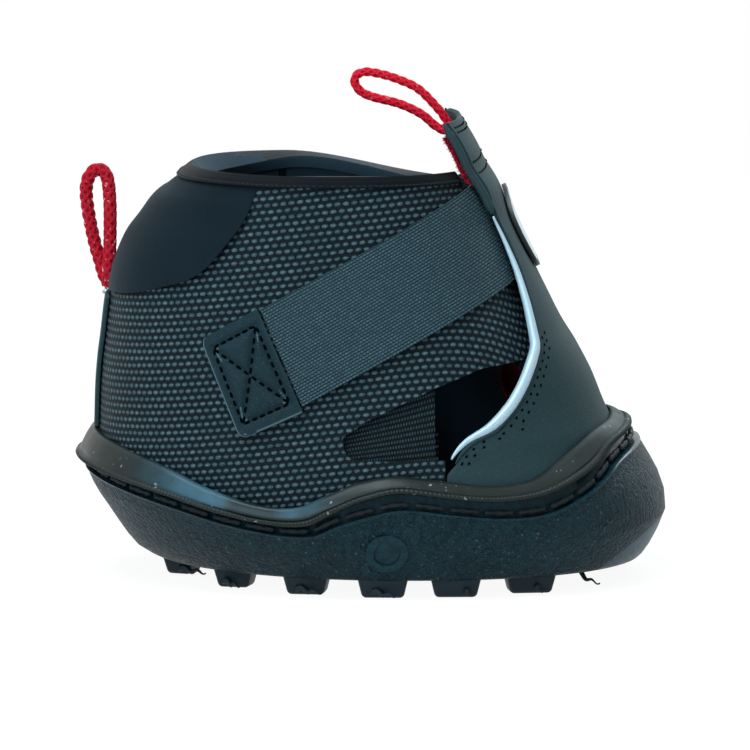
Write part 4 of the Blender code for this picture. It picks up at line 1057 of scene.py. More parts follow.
def prism(outline, low, high):
    """A cutter: a side outline of X and Z drawn from one Y to another."""
    shape = bmesh.new()
    shape.faces.new([shape.verts.new((x, low, z)) for x, z in outline])
    drawn = bmesh.ops.extrude_face_region(shape, geom=list(shape.faces))["geom"]
    moved = [part for part in drawn if isinstance(part, bmesh.types.BMVert)]
    bmesh.ops.translate(shape, verts=moved, vec=(0, high - low, 0))
    bmesh.ops.recalc_face_normals(shape, faces=shape.faces)
    mesh = bpy.data.meshes.new("cutter")
    shape.to_mesh(mesh)
    shape.free()
    cutter = bpy.data.objects.new("cutter", mesh)
    bpy.context.scene.collection.objects.link(cutter)
    return cutter


def cuff_outline(grow):
    """The heel cuff's side outline, open upward and backward, moved by a gap."""
    smooth = smooth_route(real_outline(CUFF_EDGE_SHARES), OUTLINE_STEP, 2)
    edge = [(x + grow, z - grow) for x, z in smooth]
    return edge + [(edge[-1][0], CUTTER_TOP), (edge[0][0], CUTTER_TOP)]


def window_outline():
    """The cut-out, the window and all that lies ahead of the quarter's butt joint below it."""
    outline = real_outline(WINDOW_SHARES)
    foot, (_, top) = outline[0], outline[-1]
    return outline[1:-1] + [(WINDOW_FRONT, top), (WINDOW_FRONT, 0), (foot[0], 0), foot]


def quarter_place(columns, rows):
    """The quarter from its front hem to the heel, with the yarn's rows measured from X = 0.

    Where the front stands and how low the foot runs depend on each other, so they take turns."""
    levels = np.linspace(0, 1, rows + 1)
    fronts = np.full(rows + 1, math.pi / 4)
    for _ in range(4):
        foot = quarter_foot(fronts)
        z = np.maximum(foot + (COLLAR_HEIGHT - foot) * levels, HEM_FOOT_SHARE * FORM_HEIGHT)
        fronts = slid(angle_across(WING_GAP / 2, z, 0), z, 0.0, HEM_WIDTH)

    def place(u, v):
        front = np.interp(v, levels, fronts)
        angle = front + (math.pi - CLEARANCE / HEEL_REACH - front) * (1 - u)
        foot = quarter_foot(angle)
        z = foot + (COLLAR_HEIGHT - foot) * v
        points = skin(angle, z, 0.0)
        lattice = points.reshape(rows + 1, columns + 1, 3)
        reach = np.cumsum(np.linalg.norm(np.diff(lattice, axis=1), axis=2), axis=1)
        reach = np.concatenate([np.zeros((rows + 1, 1)), reach], axis=1)
        middle = np.array([np.interp(0.0, row[:, 0], run) for row, run in zip(lattice, reach)])
        along = (reach - middle[:, None]).ravel()
        return points, np.stack([along, z - reading(ROW_RISE, points[:, 0], 1)], axis=1)

    return place


# Coarse nylon: dark slate beads in staggered rows, with painted shade in their deep gaps and a painted
# highlight on their crowns.
quarter_cloth = woven_material("basket_woven_nylon", BEAD_PITCH, BEAD_RISE, 0.5, "#0b151b", "#27393f",
                               "#6b8189", 0.0009, 0.32, (0.50, 0.38))
quarter = sheet_on("quarter_near_cloth", *QUARTER_GRID, quarter_place(*QUARTER_GRID), QUARTER_THICKNESS)
trim(quarter, prism(window_outline(), -CUTTER_REACH, 0.0), "DIFFERENCE")
trim(quarter, prism(cuff_outline(CUFF_GAP), -CUTTER_REACH, 0.0), "DIFFERENCE")
dress_pair(smoothed(quarter), quarter_cloth, "quarter")

# Wing hems: each quarter's front edge beside the throat, turned back on itself and sewn down. It
# is the quarter's own cloth, in a narrow band that is rounded at its edges.
FINE_EDGE, SOFT_EDGE = 0.00025, 0.0003


def eased(piece, width=FINE_EDGE):
    """Round a finished sheet's edges a little."""
    bevel = piece.modifiers.new("worn edge", "BEVEL")
    bevel.width = width
    bevel.segments = 2
    bevel.limit_method = "ANGLE"
    bevel.angle_limit = math.radians(50)
    apply_all(piece)
    return smoothed(piece, 50)


def hem_place(u, v):
    """The hem as a band of even width behind the throat."""
    z = FORM_HEIGHT * (HEM_FOOT_SHARE + (HEM_TOP_SHARE - HEM_FOOT_SHARE) * v)
    front = angle_across(WING_GAP / 2, z, 0)
    rear = slid(front, z, 0.0, HEM_WIDTH - CLEARANCE)
    points = skin(front + (rear - front) * (1 - u), z, 0.0)
    return points, np.stack([u * HEM_WIDTH, z - reading(ROW_RISE, points[:, 0], 1)], axis=1)


hem = sheet_on("wing_hem_near_cloth", 20, 50, hem_place, QUARTER_THICKNESS)
dress_pair(eased(hem), quarter_cloth, "wing_hem")

# Heel strip: a strip of synthetic leather sewn over the seam at the back where the quarters meet,
# from the edge band up to the cuff.
LEATHER_THICKNESS = 0.0012
STRIP_HALF_WIDTH = 0.0190


def strip_place(u, v):
    """The strip on the last, even in width about the heel's middle."""
    foot = band_top(np.array(math.pi)) + CLEARANCE
    top = CUFF_EDGE_SHARES[0][1] * FORM_HEIGHT - CLEARANCE
    z = foot + (top - foot) * v
    distance = CLEARANCE + LEATHER_THICKNESS
    reach = slid(math.pi + 0 * z, z, distance, STRIP_HALF_WIDTH) - math.pi
    points = skin(math.pi + reach * (1 - 2 * u), z, distance)
    return points, np.stack([u * STRIP_HALF_WIDTH * 2, z], axis=1)


def leather_material(name, deep, pale):
    """Synthetic leather: matt, fine pored, a little dusty, paler along its sharp edges."""
    material, tree, shader, coords = start_material(name, pale, 0.62, 0.08)
    pores = add_node(tree, "ShaderNodeTexVoronoi", {"Vector": coords["Object"], "Scale": per_metre(0.6667)})
    creases = add_node(tree, "ShaderNodeTexNoise",
                       {"Vector": coords["Object"], "Scale": per_metre(0.3846), "Detail": 5.0})
    cloud = add_node(tree, "ShaderNodeTexNoise",
                     {"Vector": coords["Object"], "Scale": per_metre(29.41), "Detail": 4.0})
    tint = add_node(tree, "ShaderNodeMixRGB", {0: cloud, 1: linear(deep), 2: linear(pale)})
    dust = add_node(tree, "ShaderNodeMapRange",
                    {"Value": creases, "From Min": 0.60, "From Max": 0.80, "To Max": 0.22})
    dusted = add_node(tree, "ShaderNodeMixRGB", {0: dust, 1: tint, 2: linear("#93a5a6")})
    edge = add_node(tree, "ShaderNodeNewGeometry").outputs["Pointiness"]
    sharp_edge_paling = add_node(tree, "ShaderNodeMapRange",
                      {"Value": edge, "From Min": 0.54, "From Max": 0.66, "To Max": 0.45})
    paled = add_node(tree, "ShaderNodeMixRGB", {0: sharp_edge_paling, 1: dusted, 2: linear("#74898f")})
    height = add_node(tree, "ShaderNodeMath", {0: pores, 1: 0.6, 2: creases}, operation="MULTIPLY_ADD")
    bump = add_node(tree, "ShaderNodeBump", {"Height": height, "Strength": 0.35, "Distance": 0.0003})
    connect(tree, shader, {"Base Color": paled, "Normal": bump})
    return material


leather = leather_material("synthetic_leather", "#26373a", "#324447")
strip = eased(sheet_on("heel_strip_leather", 48, 48, strip_place, LEATHER_THICKNESS))
dress(strip, leather, replaced=["heel_strip"])

# Collar linings: foam-backed knit sewn inside the collar, from the cuff to the front on each
# side. They are soft and stand off the quarters' inner face.
LINING_THICKNESS = 0.0025
LINING_DROP = 0.0460
LINING_LAP = 0.0004
COLLAR_RUN = 0.13


def lining_place(u, v):
    """The lining inside the quarter, from the hem to the heel, down from the collar's edge."""
    z = COLLAR_HEIGHT - LINING_DROP * (1 - v)
    front = slid(angle_across(WING_GAP / 2, z, 0), z, 0.0, HEM_WIDTH)
    angle = front + (math.pi - CLEARANCE / HEEL_REACH - front) * (1 - u)
    return skin(angle, z, LINING_FACE), np.stack([u * COLLAR_RUN, z], axis=1)


def knit_faced(name, deep, pale, fuzz):
    """Neoprene foam under a fine knit: matt, soft at its turning edges, with a little pale lint."""
    material, tree, shader, coords = start_material(name, pale, 0.8, 0.06)
    knit = add_node(tree, "ShaderNodeTexNoise",
                    {"Vector": coords["Object"], "Scale": per_metre(0.4167), "Detail": 2.0})
    soft = add_node(tree, "ShaderNodeTexNoise",
                    {"Vector": coords["Object"], "Scale": per_metre(18.18), "Detail": 2.0})
    tint = add_node(tree, "ShaderNodeMixRGB", {0: soft, 1: linear(deep), 2: linear(pale)})
    lint = add_node(tree, "ShaderNodeMapRange",
                    {"Value": knit, "From Min": 0.72, "From Max": 0.80, "To Max": 0.25})
    linted = add_node(tree, "ShaderNodeMixRGB", {0: lint, 1: tint, 2: linear("#8497a0")})
    bump = add_node(tree, "ShaderNodeBump", {"Height": knit, "Strength": 0.3, "Distance": 0.0002})
    connect(tree, shader, {"Base Color": linted, "Normal": bump, "Sheen Weight": fuzz})
    return material


# Painted light: the lining's knit is much lighter than the neoprene, for the bounced light that the collar's
# hollow misses.
lining_knit = knit_faced("lining_knit", "#22313c", "#2f424e", 0.1)
lining = sheet_on("collar_lining_near_knit", 90, 24, lining_place, LINING_THICKNESS)
trim(lining, prism(cuff_outline(-LINING_LAP), -CUTTER_REACH, 0.0), "DIFFERENCE")
for made in dress_pair(smoothed(lining), lining_knit, "collar_lining"):
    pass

# Throat lining: a tongue of dark neoprene behind the windows, sewn to the leather's inside at its foot. It
# keeps the hoof off the tape, and it is a dark sheet that stands for the shade inside the throat, so the
# windows read dark from without.
TONGUE_THICKNESS = 0.0015
TONGUE_DEPTH = 0.0150
TONGUE_FOOT, TONGUE_TOP, TONGUE_FRONT_FOOT = 0.0345, 0.0740, 0.0420
TONGUE_REAR = ((0.034, 0.0186), (0.048, 0.0186), (0.052, 0.0165), (0.074, 0.0165))
TONGUE_RUN = 0.1


def tongue_place(u, v):
    """The tongue across the inside of the toe, its foot higher in front than at its sides."""
    side = np.where(u > 0.5, 1, -1)
    share = np.abs(2 * u - 1)
    level, back = np.unique(v, return_inverse=True)
    side_z = TONGUE_FOOT + (TONGUE_TOP - TONGUE_FOOT) * level
    edge = angle_at(np.interp(side_z, *zip(*TONGUE_REAR)), side_z, -TONGUE_DEPTH)[back]
    front_z = TONGUE_FRONT_FOOT + (TONGUE_TOP - TONGUE_FRONT_FOOT) * v
    z = side_z[back] * share + front_z * (1 - share)
    return skin(-side * edge * share, z, -TONGUE_DEPTH), np.stack([u * TONGUE_RUN, z], axis=1)


# Neoprene with a tight knit face: black, matt, a little blue in the light.
neoprene = knit_faced("neoprene", "#0a141a", "#111f28", 0.06)
tongue = eased(sheet_on("throat_tongue", 90, 50, tongue_place, TONGUE_THICKNESS), SOFT_EDGE)
dress(tongue, neoprene)

# Far collar: its front part stands lower than the near one's, so the cloth and the lining on that
# side sink toward the throat, as soft cloth does. The binding follows them below.
SAG = 0.0065
SAG_X, SAG_LENGTH = -0.027, 0.047
SAG_Z, SAG_RISE = 0.085, 0.029


def ramp(share):
    """An eased rise from 0 to 1."""
    share = np.clip(share, 0.0, 1.0)
    return share * share * (3 - 2 * share)


def sagged(piece):
    """Let a far piece sink toward its front and top."""
    flat = np.empty(len(piece.data.vertices) * 3)
    piece.data.vertices.foreach_get("co", flat)
    points = flat.reshape(-1, 3)
    points[:, 2] -= SAG * ramp((points[:, 0] - SAG_X) / SAG_LENGTH) * ramp((points[:, 2] - SAG_Z) / SAG_RISE)
    piece.data.vertices.foreach_set("co", points.astype(np.float32).ravel())
    piece.data.update()


for name in ("quarter_far_cloth", "collar_lining_far_knit"):
    sagged(bpy.data.objects[name])

# Heel cuff: a padded neoprene piece round the back of the collar, sewn over the quarters' edge
# and swelling out over it. The same piece turns inward, so its inner face is the lining's knit.
CUFF_BULGE = 0.0018
CUFF_THICKNESS = LINING_THICKNESS - LINING_FACE
CUFF_TUCK_SHARE = 0.02
CUFF_LAP_TURN = 0.15
CUFF_SWELL_SHARE = 0.86
CUFF_RUN = 0.16
CUFF_EDGE = 0.0006
CUFF_INWARD = -0.4
SEAM_X = -0.0275


def cuff_place(u, v):
    """The cuff round the heel, a little past its edge line, with its face swollen."""
    low = (CUFF_EDGE_SHARES[0][1] - CUFF_TUCK_SHARE) * FORM_HEIGHT
    z = low + (COLLAR_HEIGHT - low) * v
    start = angle_at(CUFF_EDGE_SHARES[-1][0] * TOE_REACH, COLLAR_HEIGHT, 0) - CUFF_LAP_TURN
    angle = start + (2 * math.pi - 2 * start) * (1 - u)
    swell = np.sin(math.pi * np.minimum(v / CUFF_SWELL_SHARE, 1.0)) ** 0.7
    return skin(angle, z, CUFF_BULGE * swell), np.stack([u * CUFF_RUN, z], axis=1)


def lined(piece, material, limit):
    """Give the faces that look into the collar a second material."""
    piece.data.materials.append(material)
    for face in piece.data.polygons:
        outward = Vector((face.center.x - SEAM_X, face.center.y, 0.0))
        face.material_index = 1 if face.normal.dot(outward) < limit * outward.length else 0


cuff = sheet_on("heel_cuff_neoprene", 140, 44, cuff_place, CUFF_THICKNESS)
trim(cuff, prism(cuff_outline(0.0), -CUTTER_REACH, CUTTER_REACH), "INTERSECT")
dress(eased(cuff, CUFF_EDGE), neoprene, replaced=["heel_cuff"])
# Its inner faces take the lining's knit, painted lighter as light for the collar's hollow.
lined(cuff, lining_knit, CUFF_INWARD)

# Bindings: a fine black tape folded over the collar's top edge on each side, sewn through with one
# row of small stitches just above its lower edge.
BINDING_DROP = 0.0024
BINDING_THICKNESS = 0.0006
BINDING_CORNER = 0.0003
BINDING_SHOULDER = 0.0004
BINDING_RUN = 0.012
BINDING_COLUMNS = 120
BINDING_INWARD = -0.5
BINDING_STITCHES = 74
BINDING_STITCH_RISE = 0.0005
BINDING_STITCH_SIZE = (0.0013, 0.0005, 0.0004)
binding_outer = CLEARANCE + BINDING_THICKNESS
binding_inner = LINING_FACE - LINING_THICKNESS - CLEARANCE
binding_low, binding_top = COLLAR_HEIGHT - BINDING_DROP, COLLAR_HEIGHT + CLEARANCE
binding_back = binding_inner - BINDING_THICKNESS
BINDING_SECTION = np.array((
    (binding_outer, binding_low), (binding_outer, binding_top - BINDING_CORNER),
    (binding_outer - BINDING_CORNER, binding_top + BINDING_SHOULDER),
    ((binding_outer + binding_inner) / 2, binding_top + BINDING_THICKNESS),
    (binding_back + BINDING_CORNER, binding_top + BINDING_SHOULDER),
    (binding_back, binding_top - BINDING_CORNER), (binding_back, binding_low),
    (binding_inner, binding_low), (binding_inner, binding_top), (CLEARANCE, binding_top),
    (CLEARANCE, binding_low), (binding_outer, binding_low),
))
BINDING_ROWS = len(BINDING_SECTION) - 1


def binding_angles(u):
    """The tape's place round the collar: 0 at the heel, 1 at its front end."""
    front = slid(angle_across(WING_GAP / 2, COLLAR_HEIGHT, 0), COLLAR_HEIGHT, 0.0, HEM_WIDTH)
    return front + (math.pi - CLEARANCE / HEEL_REACH - front) * (1 - u)


def binding_place(u, v):
    """The tape's folded section, carried along the collar."""
    far, z = BINDING_SECTION[np.rint(v * BINDING_ROWS).astype(int)].T
    return skin(binding_angles(u), z, far), np.stack([u * COLLAR_RUN, v * BINDING_RUN], axis=1)


def seeded(name, points, ahead, normals, size):
    """Many small rounded seeds as one mesh: each at a point, lying along a direction on a surface."""
    bpy.ops.object.select_all(action="DESELECT")
    bpy.ops.mesh.primitive_uv_sphere_add(segments=8, ring_count=5, radius=0.5)
    seed = bpy.context.object
    knots = np.array([v.co[:] for v in seed.data.vertices])
    sides = [tuple(face.vertices) for face in seed.data.polygons]
    bpy.data.objects.remove(seed, do_unlink=True)
    normals = unit(np.asarray(normals))
    ahead = unit(ahead - normals * (ahead * normals).sum(axis=1, keepdims=True))
    across = np.cross(normals, ahead)
    axes = np.stack([ahead * size[0], across * size[1], normals * size[2]], axis=1)
    placed = np.einsum("ki,nij->nkj", knots, axes) + np.asarray(points)[:, None, :]
    faces = [tuple(corner + len(knots) * index for corner in side)
             for index in range(len(points)) for side in sides]
    mesh = bpy.data.meshes.new(name)
    mesh.from_pydata(placed.reshape(-1, 3).tolist(), [], faces)
    piece = bpy.data.objects.new(name, mesh)
    bpy.context.scene.collection.objects.link(piece)
    mesh.shade_smooth()
    return piece


# Twilled tape: black and fine, nearly flat, so the fold reads as a thin dark line.
tape_cloth = woven_material("binding_tape", 0.5, 0.55, 0.5, "#06090c", "#0b1216", "#121b20",
                            0.00004, 0.03, (0.48, 0.44))
binding = laid_grid("top_binding_near_tape", BINDING_COLUMNS, BINDING_ROWS, binding_place,
                    joined=True, capped=True)
for made in dress_pair(smoothed(binding, 60), tape_cloth, "top_binding"):
    # Painted light: the tape's inner faces take the lining's lighter knit, so the collar's inside does not
    # fall black.
    lined(made, lining_knit, BINDING_INWARD)
sagged(bpy.data.objects["top_binding_far_tape"])

first, last = (float(binding_angles(np.array(u))) for u in (0.01, 0.99))
turns = np.linspace(first, last, BINDING_STITCHES)
stitch_z = np.full(BINDING_STITCHES, binding_low + BINDING_STITCH_RISE)
stitch_line, stitch_lift = (skin(turns, stitch_z, np.full(BINDING_STITCHES, far))
                            for far in (binding_outer, binding_outer + 0.001))
binding_stitches = seeded("top_binding_near_stitches", stitch_line, np.gradient(stitch_line, axis=0),
                          stitch_lift - stitch_line, BINDING_STITCH_SIZE)
dress_pair(binding_stitches, waxed_thread, None)
sagged(bpy.data.objects["top_binding_far_stitches"])

# Lining seam: the two halves of each side's lining meet edge to edge in a butt seam, which is
# bound on the inside with a narrow strip of the same tape.
SEAM_FOOT, SEAM_TOP = 0.0690, 0.1125
SEAM_KNOTS = 60
SEAM_HALF_WIDTH, SEAM_HALF_HEIGHT = 0.0011, 0.0004
seam_z = np.linspace(SEAM_FOOT, SEAM_TOP, SEAM_KNOTS)
seam_face = LINING_FACE - LINING_THICKNESS
seam_path = skin(angle_at(SEAM_X, seam_z, seam_face), seam_z, seam_face)


def seam_section(turn, along):
    """The tape's flat oval section."""
    return SEAM_HALF_WIDTH * np.cos(turn), SEAM_HALF_HEIGHT * np.sin(turn)


seam = swept("lining_seam_near", seam_path, 8, seam_section, (1, 0, 0))
seam.data.shade_smooth()
dress_pair(seam, tape_cloth, None)

# Side straps: elastic webbing, a fine twill, sewn down under the patch and running up to its end
# under the flap, which holds it. Each swings out by itself when the flap is folded away.
STRAP_THICKNESS = 0.0012
STRAP_FACE = CLEARANCE + STRAP_THICKNESS
STRAP_SHARES = ((-0.242, 0.414), (-0.394, 0.616), (0.360, 0.867), (0.526, 0.667))
# Elastic webbing: slate, with short slanted picks set close over rubber threads; painted shade between the
# picks and a painted highlight on them.
elastic = woven_material("elastic_webbing", 1.05, 0.8, 0.42, "#142228", "#30464f", "#617780",
                         0.0004, 0.08, (0.62, 0.50))
strap = sheet_on("strap_near_elastic", 150, 70, four_sided(real_outline(STRAP_SHARES), STRAP_FACE),
                 STRAP_THICKNESS)
dress_pair(smoothed(strap), elastic, "strap", ("strap_near", "strap_far"))

# Strap patches: leather sewn over each strap's rear end with a box and a cross of thick thread that
# draw it down, so it swells between them.
PATCH_THICKNESS = 0.0016
PATCH_FACE = CLEARANCE + PATCH_THICKNESS
PATCH_SHARES = ((-0.463, 0.343), (-0.607, 0.549), (-0.408, 0.616), (-0.242, 0.402))
PATCH_CORNER = 0.10
CORNER_SHARE = 0.98
PATCH_SIZE = (18.8, 28.5)
BOX_INSET = 0.12
BOX_PITCH = 2.5
BOX_STITCH_SIZE = (0.0020, 0.0010, 0.0007)
STITCH_SINK, SINK_REACH = 0.0006, 0.75
PATCH_SWELL, SWELL_REACH = 0.0007, 1.8
OUTER_SWELL_SHARE = 0.3


def drawn_down(along, up):
    """The patch's relief at a place in mm: sunk along the box and the cross, swollen between."""
    across, tall = (np.abs(np.array(place) - size / 2) for place, size in zip((along, up), PATCH_SIZE))
    half_wide, half_tall = (size * (0.5 - BOX_INSET) for size in PATCH_SIZE)
    over_x, over_y = across - half_wide, tall - half_tall
    over = np.maximum(over_x, over_y)
    to_box = np.where(over > 0, np.hypot(np.maximum(over_x, 0), np.maximum(over_y, 0)), -over)
    to_cross = np.abs(half_tall * across - half_wide * tall) / math.hypot(half_wide, half_tall)
    nearest = np.where(over < 0, np.minimum(to_box, to_cross), to_box)
    swell = PATCH_SWELL * np.where(over < 0, 1.0, OUTER_SWELL_SHARE)
    swollen = swell * (1 - np.exp(-(nearest / SWELL_REACH) ** 2))
    return swollen - STITCH_SINK * np.exp(-(nearest / SINK_REACH) ** 2)


patch_place = four_sided(real_outline(PATCH_SHARES), PATCH_FACE, drawn_down)


def rounded_place(u, v):
    """The patch with its rear corners rounded off."""
    x, y = 2 * u - 1, 2 * v - 1
    depth = np.clip((np.abs(y) - (1 - 2 * PATCH_CORNER)) / (2 * PATCH_CORNER), 0, 1)
    cut = PATCH_CORNER * (1 - np.sqrt(1 - depth ** 2 * CORNER_SHARE)) * (0.5 - 0.5 * x)
    return patch_place(u + cut, v)


def stitch_run(ends, pitch):
    """Places on the patch along a broken line, a stitch apart in mm."""
    made = []
    for start, stop in zip(ends, ends[1:]):
        start, stop = np.asarray(start, float), np.asarray(stop, float)
        count = round(float(np.linalg.norm((stop - start) * PATCH_SIZE)) / pitch)
        made += [start + (stop - start) * (index + 0.5) / count for index in range(count)]
    return np.array(made)


SHEET_STEP = 0.004


def sewn(name, place, flat, size):
    """Stitches on a sheet: flat holds runs of (u, v) places, each laid along its own run."""
    flat = np.asarray(flat)
    here, _ = place(flat[:, 0], flat[:, 1])
    right, _ = place(flat[:, 0] + SHEET_STEP, flat[:, 1])
    above, _ = place(flat[:, 0], flat[:, 1] + SHEET_STEP)
    ahead = np.gradient(here, axis=0)
    return seeded(name, here, ahead, np.cross(right - here, above - here), size)


# The patch's leather is darker than the panel's, and just as matt and fine pored.
patch = eased(sheet_on("strap_patch_near_leather", 76, 110, rounded_place, PATCH_THICKNESS), SOFT_EDGE)
patch_leather = leather_material("patch_leather", "#16252b", "#1d2f36")
dress_pair(patch, patch_leather, "strap_patch")
low, high = BOX_INSET, 1 - BOX_INSET
BOX_RUNS = (
    ((low, low), (high, low), (high, high), (low, high), (low, low)),
    ((low, low), (high, high)), ((high, low), (low, high)),
)
# Dark thread in its needle holes, painted black and matt as the shade in each hole, so that each stitch reads
# as a dark slot.
thread_and_hole_shade = start_material("thread_in_holes", "#030506", 0.9, 0.02)[0]
box = [sewn("patch_stitches", patch_place, stitch_run(run, BOX_PITCH), BOX_STITCH_SIZE) for run in BOX_RUNS]
dress_pair(gathered("strap_patch_near_stitches", box), thread_and_hole_shade, None)

# Hem stitching: waxed thread in a zigzag down each quarter's front hem, which holds the turned
# edge down. Each leg of the zigzag is a short run of raised stitches.
ZIGZAG_LEGS = 22
ZIGZAG_SIDES = (0.30, 0.72)
ZIGZAG_STITCH_SIZE = (0.0016, 0.0006, 0.0005)
shares = np.linspace(0.1, 0.9, 4)
zigzag = []
for index in range(ZIGZAG_LEGS):
    left, right = ZIGZAG_SIDES if index % 2 else ZIGZAG_SIDES[::-1]
    run = np.stack([left + (right - left) * shares, (index + shares) / ZIGZAG_LEGS], axis=1)
    zigzag.append(sewn("zigzag", hem_place, run, ZIGZAG_STITCH_SIZE))
dress_pair(gathered("wing_hem_near_zigzag", zigzag), waxed_thread, None)

# Toe panel and front flap: one piece of synthetic leather over the toe that narrows upward into
# the flap, which folds forward at its waist. Its foot is tucked in behind the sole's wall.
FOLD_HEIGHT = 0.0670
TAPE_THICKNESS = 0.0005
TAPE_FACE = STRAP_FACE + CLEARANCE + TAPE_THICKNESS
FLAP_FACE = TAPE_FACE + CLEARANCE + LEATHER_THICKNESS
PIPING_RADIUS = 0.0012
FLAP_TOP_SHARE = 0.996
PANEL_RISE_SHARE = 0.345
BUTT_LAP, BUTT_EASE = 0.001, 0.004
LEATHER_RUN = 0.06
LEAST_SLANT = 0.3
LEATHER_INSET = -(PIPING_RADIUS * 2 + CLEARANCE * 2)
EDGE_LINE = (
    (0.000, 0.262), (0.275, 0.262), (0.297, 0.266), (0.322, 0.288), (0.350, 0.337), (0.373, 0.412),
    (0.408, 0.477), (0.445, 0.522), (0.486, 0.556), (0.527, 0.579), (0.569, 0.583),
)
FLAP_WIDTH_SHARES = (
    (0.0, 1.00), (0.1, 0.92), (0.2, 0.84), (0.33, 0.75), (0.5, 0.70), (0.7, 0.71), (1.0, 0.72),
)


def line_point(z, distance):
    """Angle and point of the leather's rear edge line at a height."""
    z, distance = np.broadcast_arrays(np.asarray(z, float), np.asarray(distance, float))
    low = np.minimum(z, FOLD_HEIGHT)
    angle = angle_at(reading(EDGE_LINE, low / FORM_HEIGHT, 1) * TOE_REACH, low, distance)
    width = -skin(angle, low, distance)[..., 1]
    share = (z - FOLD_HEIGHT) / (FORM_HEIGHT - FOLD_HEIGHT)
    upper = angle_across(width * reading(FLAP_WIDTH_SHARES, share, 1), z, distance)
    angle = np.where(z > FOLD_HEIGHT, upper, angle)
    return angle, skin(angle, z, distance)


def line_angle(z, distance, run):
    """Angle at a distance square to the rear edge line, away from the toe if positive."""
    angle, point = line_point(z, distance)
    _, above = line_point(z + FORM_HEIGHT * LAST_STEP, distance)
    around = unit(skin(angle + LAST_STEP, z, distance) - point)
    square = np.linalg.norm(np.cross(unit(above - point), around), axis=-1)
    return slid(angle, z, distance, run / np.maximum(square, LEAST_SLANT))


def panel_distance(z):
    """How far the leather stands off the last: level with the quarters low down, over the tape higher."""
    start = FORM_HEIGHT * PANEL_RISE_SHARE
    return FLAP_FACE * ramp((z - start) / (FOLD_HEIGHT - start))


def leather_place(u, v):
    """The leather from edge to edge across the toe, its foot following the upper's lower edge."""
    side = np.where(u > 0.5, 1, -1)
    share = np.abs(2 * u - 1)
    top = FLAP_TOP_SHARE * FORM_HEIGHT
    butt = EDGE_LINE[1][0] * FORM_HEIGHT
    foot_side = quarter_foot(angle_at(EDGE_LINE[0][1] * TOE_REACH, butt, 0))
    level, back = np.unique(v, return_inverse=True)
    side_z = foot_side + (top - foot_side) * level
    ease = ramp((side_z - butt + BUTT_LAP) / BUTT_EASE)
    inset = -2 * CLEARANCE + (LEATHER_INSET + 2 * CLEARANCE) * ease
    edge = line_angle(side_z, panel_distance(side_z), inset)[back]
    angle = edge * share
    foot = quarter_foot(angle) + (foot_side - quarter_foot(edge))
    z = foot + (top - foot) * v
    points = skin(-side * angle, z, panel_distance(z))
    return points, np.stack([side * angle * LEATHER_RUN, z], axis=1)


def dress_bending(piece, material, replaced=()):
    """Dress a piece that crosses the waist: it gets no body, and its place is baked into its points."""
    dress(piece, material, None, replaced)
    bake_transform(piece)


front = eased(sheet_on("toe_and_flap_leather", 110, 170, leather_place, LEATHER_THICKNESS), SOFT_EDGE)
dress_bending(front, leather, ["toe_panel", "front_flap"])

# Thread holes: needle holes through the leather with dark thread sunk in them, their shade painted black, two
# rows inside the piping and short rows across the flap's top.
HOLE_SIZE = (0.0011, 0.0007, 0.0005)
HOLE_FOOT, HOLE_TOP = 0.0375, 0.0690
HOLE_ROWS = ((0.0012, 0.0019), (0.0031, 0.0021))
TAB_HOLE_INSET = 0.0030
TAB_HOLE_ROWS = ((0.1247, 0.0), (0.1234, 0.0), (0.1155, 0.0012), (0.1120, 0.0012))
hole_runs = []
for inset, pitch in HOLE_ROWS:
    z = np.arange(HOLE_FOOT, HOLE_TOP, pitch)
    hole_runs.append((z, line_angle(z, panel_distance(z), LEATHER_INSET - inset)))
shares = np.linspace(0.1, 1.0, 9)
for level, lean in TAB_HOLE_ROWS:
    edge = float(line_angle(np.array(level), FLAP_FACE, LEATHER_INSET - TAB_HOLE_INSET))
    hole_runs.append((level + lean * (1 - shares), edge * shares))
seeds = []
for z, angle in hole_runs:
    face = panel_distance(z)
    here = skin(angle, z, face)
    normals = unit(skin(angle, z, face + 0.001) - here)
    seeds.append(seeded("leather_hole", here, np.gradient(here, axis=0), normals, HOLE_SIZE))
hole_rows = gathered("flap_holes_near", seeds)
for rows in (hole_rows, mirrored(hole_rows, "flap_holes_far")):
    dress_bending(rows, thread_and_hole_shade)

# Piping: a cord wrapped in retroreflective film, sewn along the leather's rear edge on each side,
# with a thin welt of leather behind it.
PIPING_TOP_SHARE = 0.770
PIPING_OVER = 0.0030
PIPING_SWELL = 1.3
PIPING_TAPERS = (0.018, 0.045)
WELT_FOOT = 0.0375
WELT_RADIUS, WELT_GAP = 0.0005, 0.0003
ROD_SIDES = 16
ROD_STEPS = 120
ROD_TAPER = 0.004
FOOT_TIP, TOP_TIP = 0.15, 0.2
# Film of fine glass beads: pale grey blue, half matt, with a faint sparkle.
piping_film, tree, shader, coords = start_material("reflective_film", "#c9e0ec", 0.32)
glass = add_node(tree, "ShaderNodeTexNoise",
                 {"Vector": coords["Object"], "Scale": per_metre(0.3333), "Detail": 1.0})
tint = add_node(tree, "ShaderNodeMixRGB", {0: glass, 1: linear("#a2b8c6"), 2: linear("#c6d5df")})
bump = add_node(tree, "ShaderNodeBump", {"Height": glass, "Strength": 0.4, "Distance": 0.0002})
connect(tree, shader, {"Base Color": tint, "Normal": bump, "Metallic": 0.15})


def round_rod(radius, length, taper, top_taper):
    """A round section that tapers to both tips."""
    def section(turn, along):
        foot = np.clip(along / taper, 0.0, 1.0)
        top = np.clip((length - along) / top_taper, 0.0, 1.0)
        size = radius * np.minimum(FOOT_TIP + (1 - FOOT_TIP) * foot ** 0.7,
                                   TOP_TIP + (1 - TOP_TIP) * top ** 0.8)
        return size * np.cos(turn), size * np.sin(turn)
    return section


